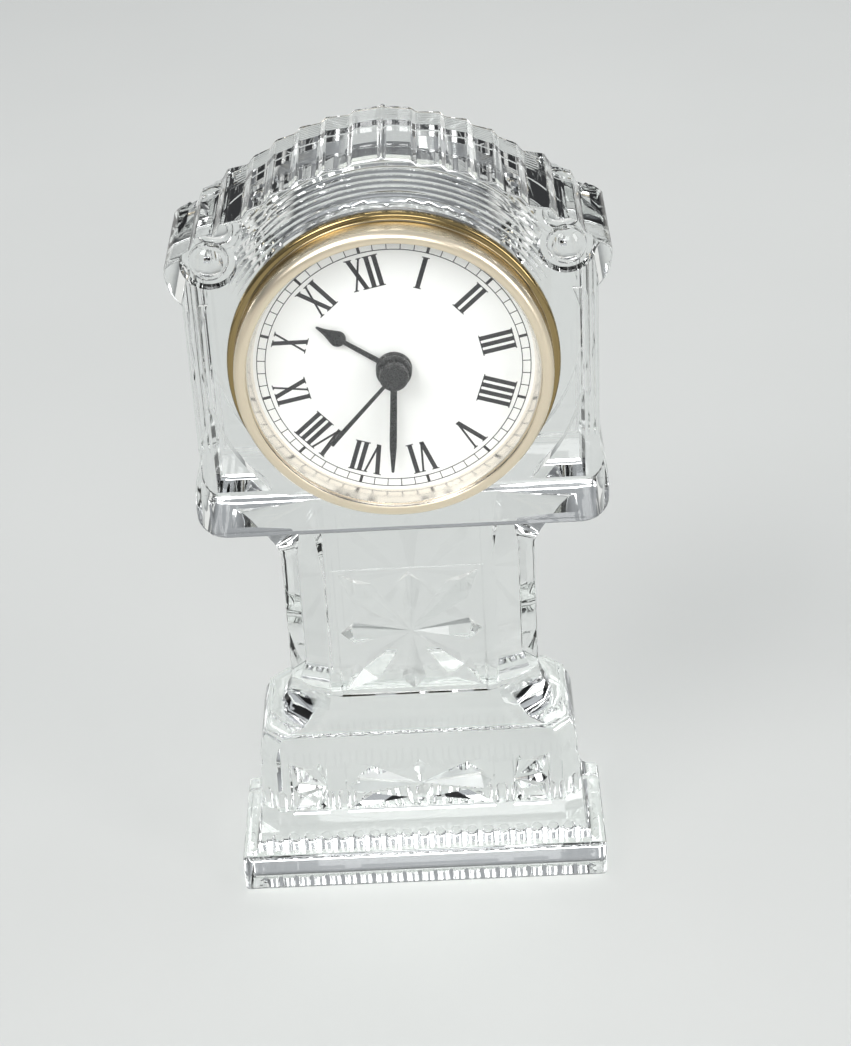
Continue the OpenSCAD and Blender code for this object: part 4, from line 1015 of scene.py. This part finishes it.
screws = make_piece("slotted_cover_screws", joined(screw_set), "insert", insert_place, smooth=35)
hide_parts("cover_screws")
nickel_steel = surface(
    "nickel_plated_steel", ("#b9b7b0", "#cbc9c3"), gloss=(0.2, 0.34), patch=1.5,
    relief=0.001, grain=0.1, Metallic=1)
screws.data.materials.append(nickel_steel)

# Battery hatch: a moulded disc with a coin slot, pressed into the cover over the cell. It is the
# cover's ABS from a finer etched tool, so that it looks a shade lighter and smoother.
hatch_low, hatch_edge, rim_top, rim_edge, hatch_gap = -7.65, 0.3, -6.85, 0.1, 0.04
coin_half, coin_w, coin_deep, coin_soft = 4, 1.2, 0.5, 0.15
stud_r, stud_top = 2, -5.15
hatch_profile = [(0, hatch_low)] + arc(bay_r - hatch_edge, hatch_low + hatch_edge, hatch_edge, -90, 0, 5)
hatch_profile += arc(bay_r - rim_edge, rim_top - rim_edge, rim_edge, 0, 90, 2)
hatch_profile += [(hatch_r - hatch_gap, rim_top), (hatch_r - hatch_gap, cover_top), (stud_r, cover_top),
                  (stud_r, stud_top), (0, stud_top)]
coin_slot = box((-coin_half, coin_half), (-coin_w / 2, coin_w / 2), (hatch_low - 1, hatch_low + coin_deep))
hatch = worked(turned(hatch_profile, steps=128), "DIFFERENCE", softened(coin_slot, coin_soft, segments=3))
hatch.data.transform(Matrix.Translation((*cell_at, 0)))
battery_hatch = make_piece("coin_slot_hatch", hatch, "hatch", insert_place, smooth=35)
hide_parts("battery_hatch")
battery_hatch.data.materials.append(surface(
    "fine_grained_black_abs", ("#2f3033", "#3c3d41"), gloss=(0.34, 0.5), patch=3,
    relief=0.005, grain=0.2))

# Setting knob: moulded with its stem and pinion, and fluted for the fingers. White acetal is
# opaque and slippery, with a soft wax-like sheen.
dress("setting_knob", surface(
    "moulded_white_acetal", ("#e6e5e1", "#f1f0ec"), gloss=(0.32, 0.46), patch=2,
    relief=0.002, grain=0.2))

# Wheels: the motion work and the going train, moulded in natural acetal. It runs without oil,
# and looks milky and a little yellow.
acetal = surface(
    "moulded_natural_acetal", ("#e4dfd0", "#f0ecdf"), gloss=(0.34, 0.48), patch=1.2,
    relief=0.002, grain=0.15)
for node in ("hour_wheel", "minute_wheel", "cannon_pinion", "centre_wheel", "third_wheel", "seconds_wheel",
             "intermediate_wheel"):
    dress(node, acetal)

# Rotor: a ring magnet of sintered ferrite, with an acetal pinion moulded into it. The ferrite is
# ground to size, and looks a dull, dry grey.
dress("rotor", surface(
    "sintered_ferrite_in_acetal", ("#4a4a4d", "#5b5a5c"), gloss=(0.4, 0.55), patch=0.8,
    relief=0.003, grain=0.1))

# Stator and core: punched from soft iron sheet and annealed, so that they are pale grey and
# only half bright, and clamped by two plated screws
soft_iron = surface(
    "punched_soft_iron", ("#9a9c9f", "#b4b6b8"), gloss=(0.28, 0.42), patch=2.5,
    relief=0.002, grain=0.2, Metallic=1)
dress("stator", soft_iron)
dress("coil_core", soft_iron)
dress("stator_screws", nickel_steel)

# Coil: fine enamelled copper wire on a moulded bobbin. The nylon is amber and slightly glossy.
# The wire is much finer than the 0.08 mm grain that stands for its turns, and shines red-brown.
dress("coil_bobbin", surface(
    "moulded_amber_nylon", ("#c7a565", "#d6b87c"), gloss=(0.35, 0.5), patch=2,
    relief=0.003, grain=0.2))
dress("coil_winding", surface(
    "enamelled_copper_wire", ("#a8562b", "#c8713f"), gloss=(0.22, 0.36), patch=0.3,
    relief=0.02, grain=0.08, Metallic=1))

# Train bridge: the rear bearing plate, moulded in glass-filled resin and screwed down. The glass
# makes its dark grey skin dry and uneven.
dress("train_bridge", surface(
    "moulded_glass_filled_resin", ("#3c3e43", "#4b4d52"), gloss=(0.4, 0.56), patch=2,
    relief=0.004, grain=0.12))
dress("bridge_screws", nickel_steel)

# Electronics: a board of epoxy glass under a printed green mask, which is glossy and shows the
# weave, a chip in matt black epoxy, and the quartz in its drawn can, bright with tin
dress("circuit_board", surface(
    "printed_green_solder_mask", ("#1c5236", "#276647"), gloss=(0.25, 0.4), patch=1.5,
    relief=0.004, grain=0.4))
dress("clock_chip", surface(
    "moulded_black_epoxy", ("#19191b", "#242427"), gloss=(0.45, 0.6), patch=0.8,
    relief=0.003, grain=0.08))
dress("quartz_can", surface(
    "tinned_drawn_steel", ("#c3c2bd", "#d3d2ce"), gloss=(0.16, 0.28), patch=1.5,
    relief=0.001, grain=0.2, Metallic=1))

# Power: contacts punched from nickel-silver strip, which is yellowish and springy, and a button
# cell in a cup of drawn stainless steel, cool grey and half bright
contact_strip = surface(
    "punched_nickel_silver", ("#c2b48e", "#d2c5a2"), gloss=(0.24, 0.36), patch=1.2,
    relief=0.001, grain=0.15, Metallic=1)
dress("negative_contact", contact_strip)
dress("positive_contact", contact_strip)
dress("button_cell", surface(
    "drawn_stainless_steel", ("#b7b8b8", "#c9caca"), gloss=(0.18, 0.32), patch=2,
    relief=0.001, grain=0.2, Metallic=1))
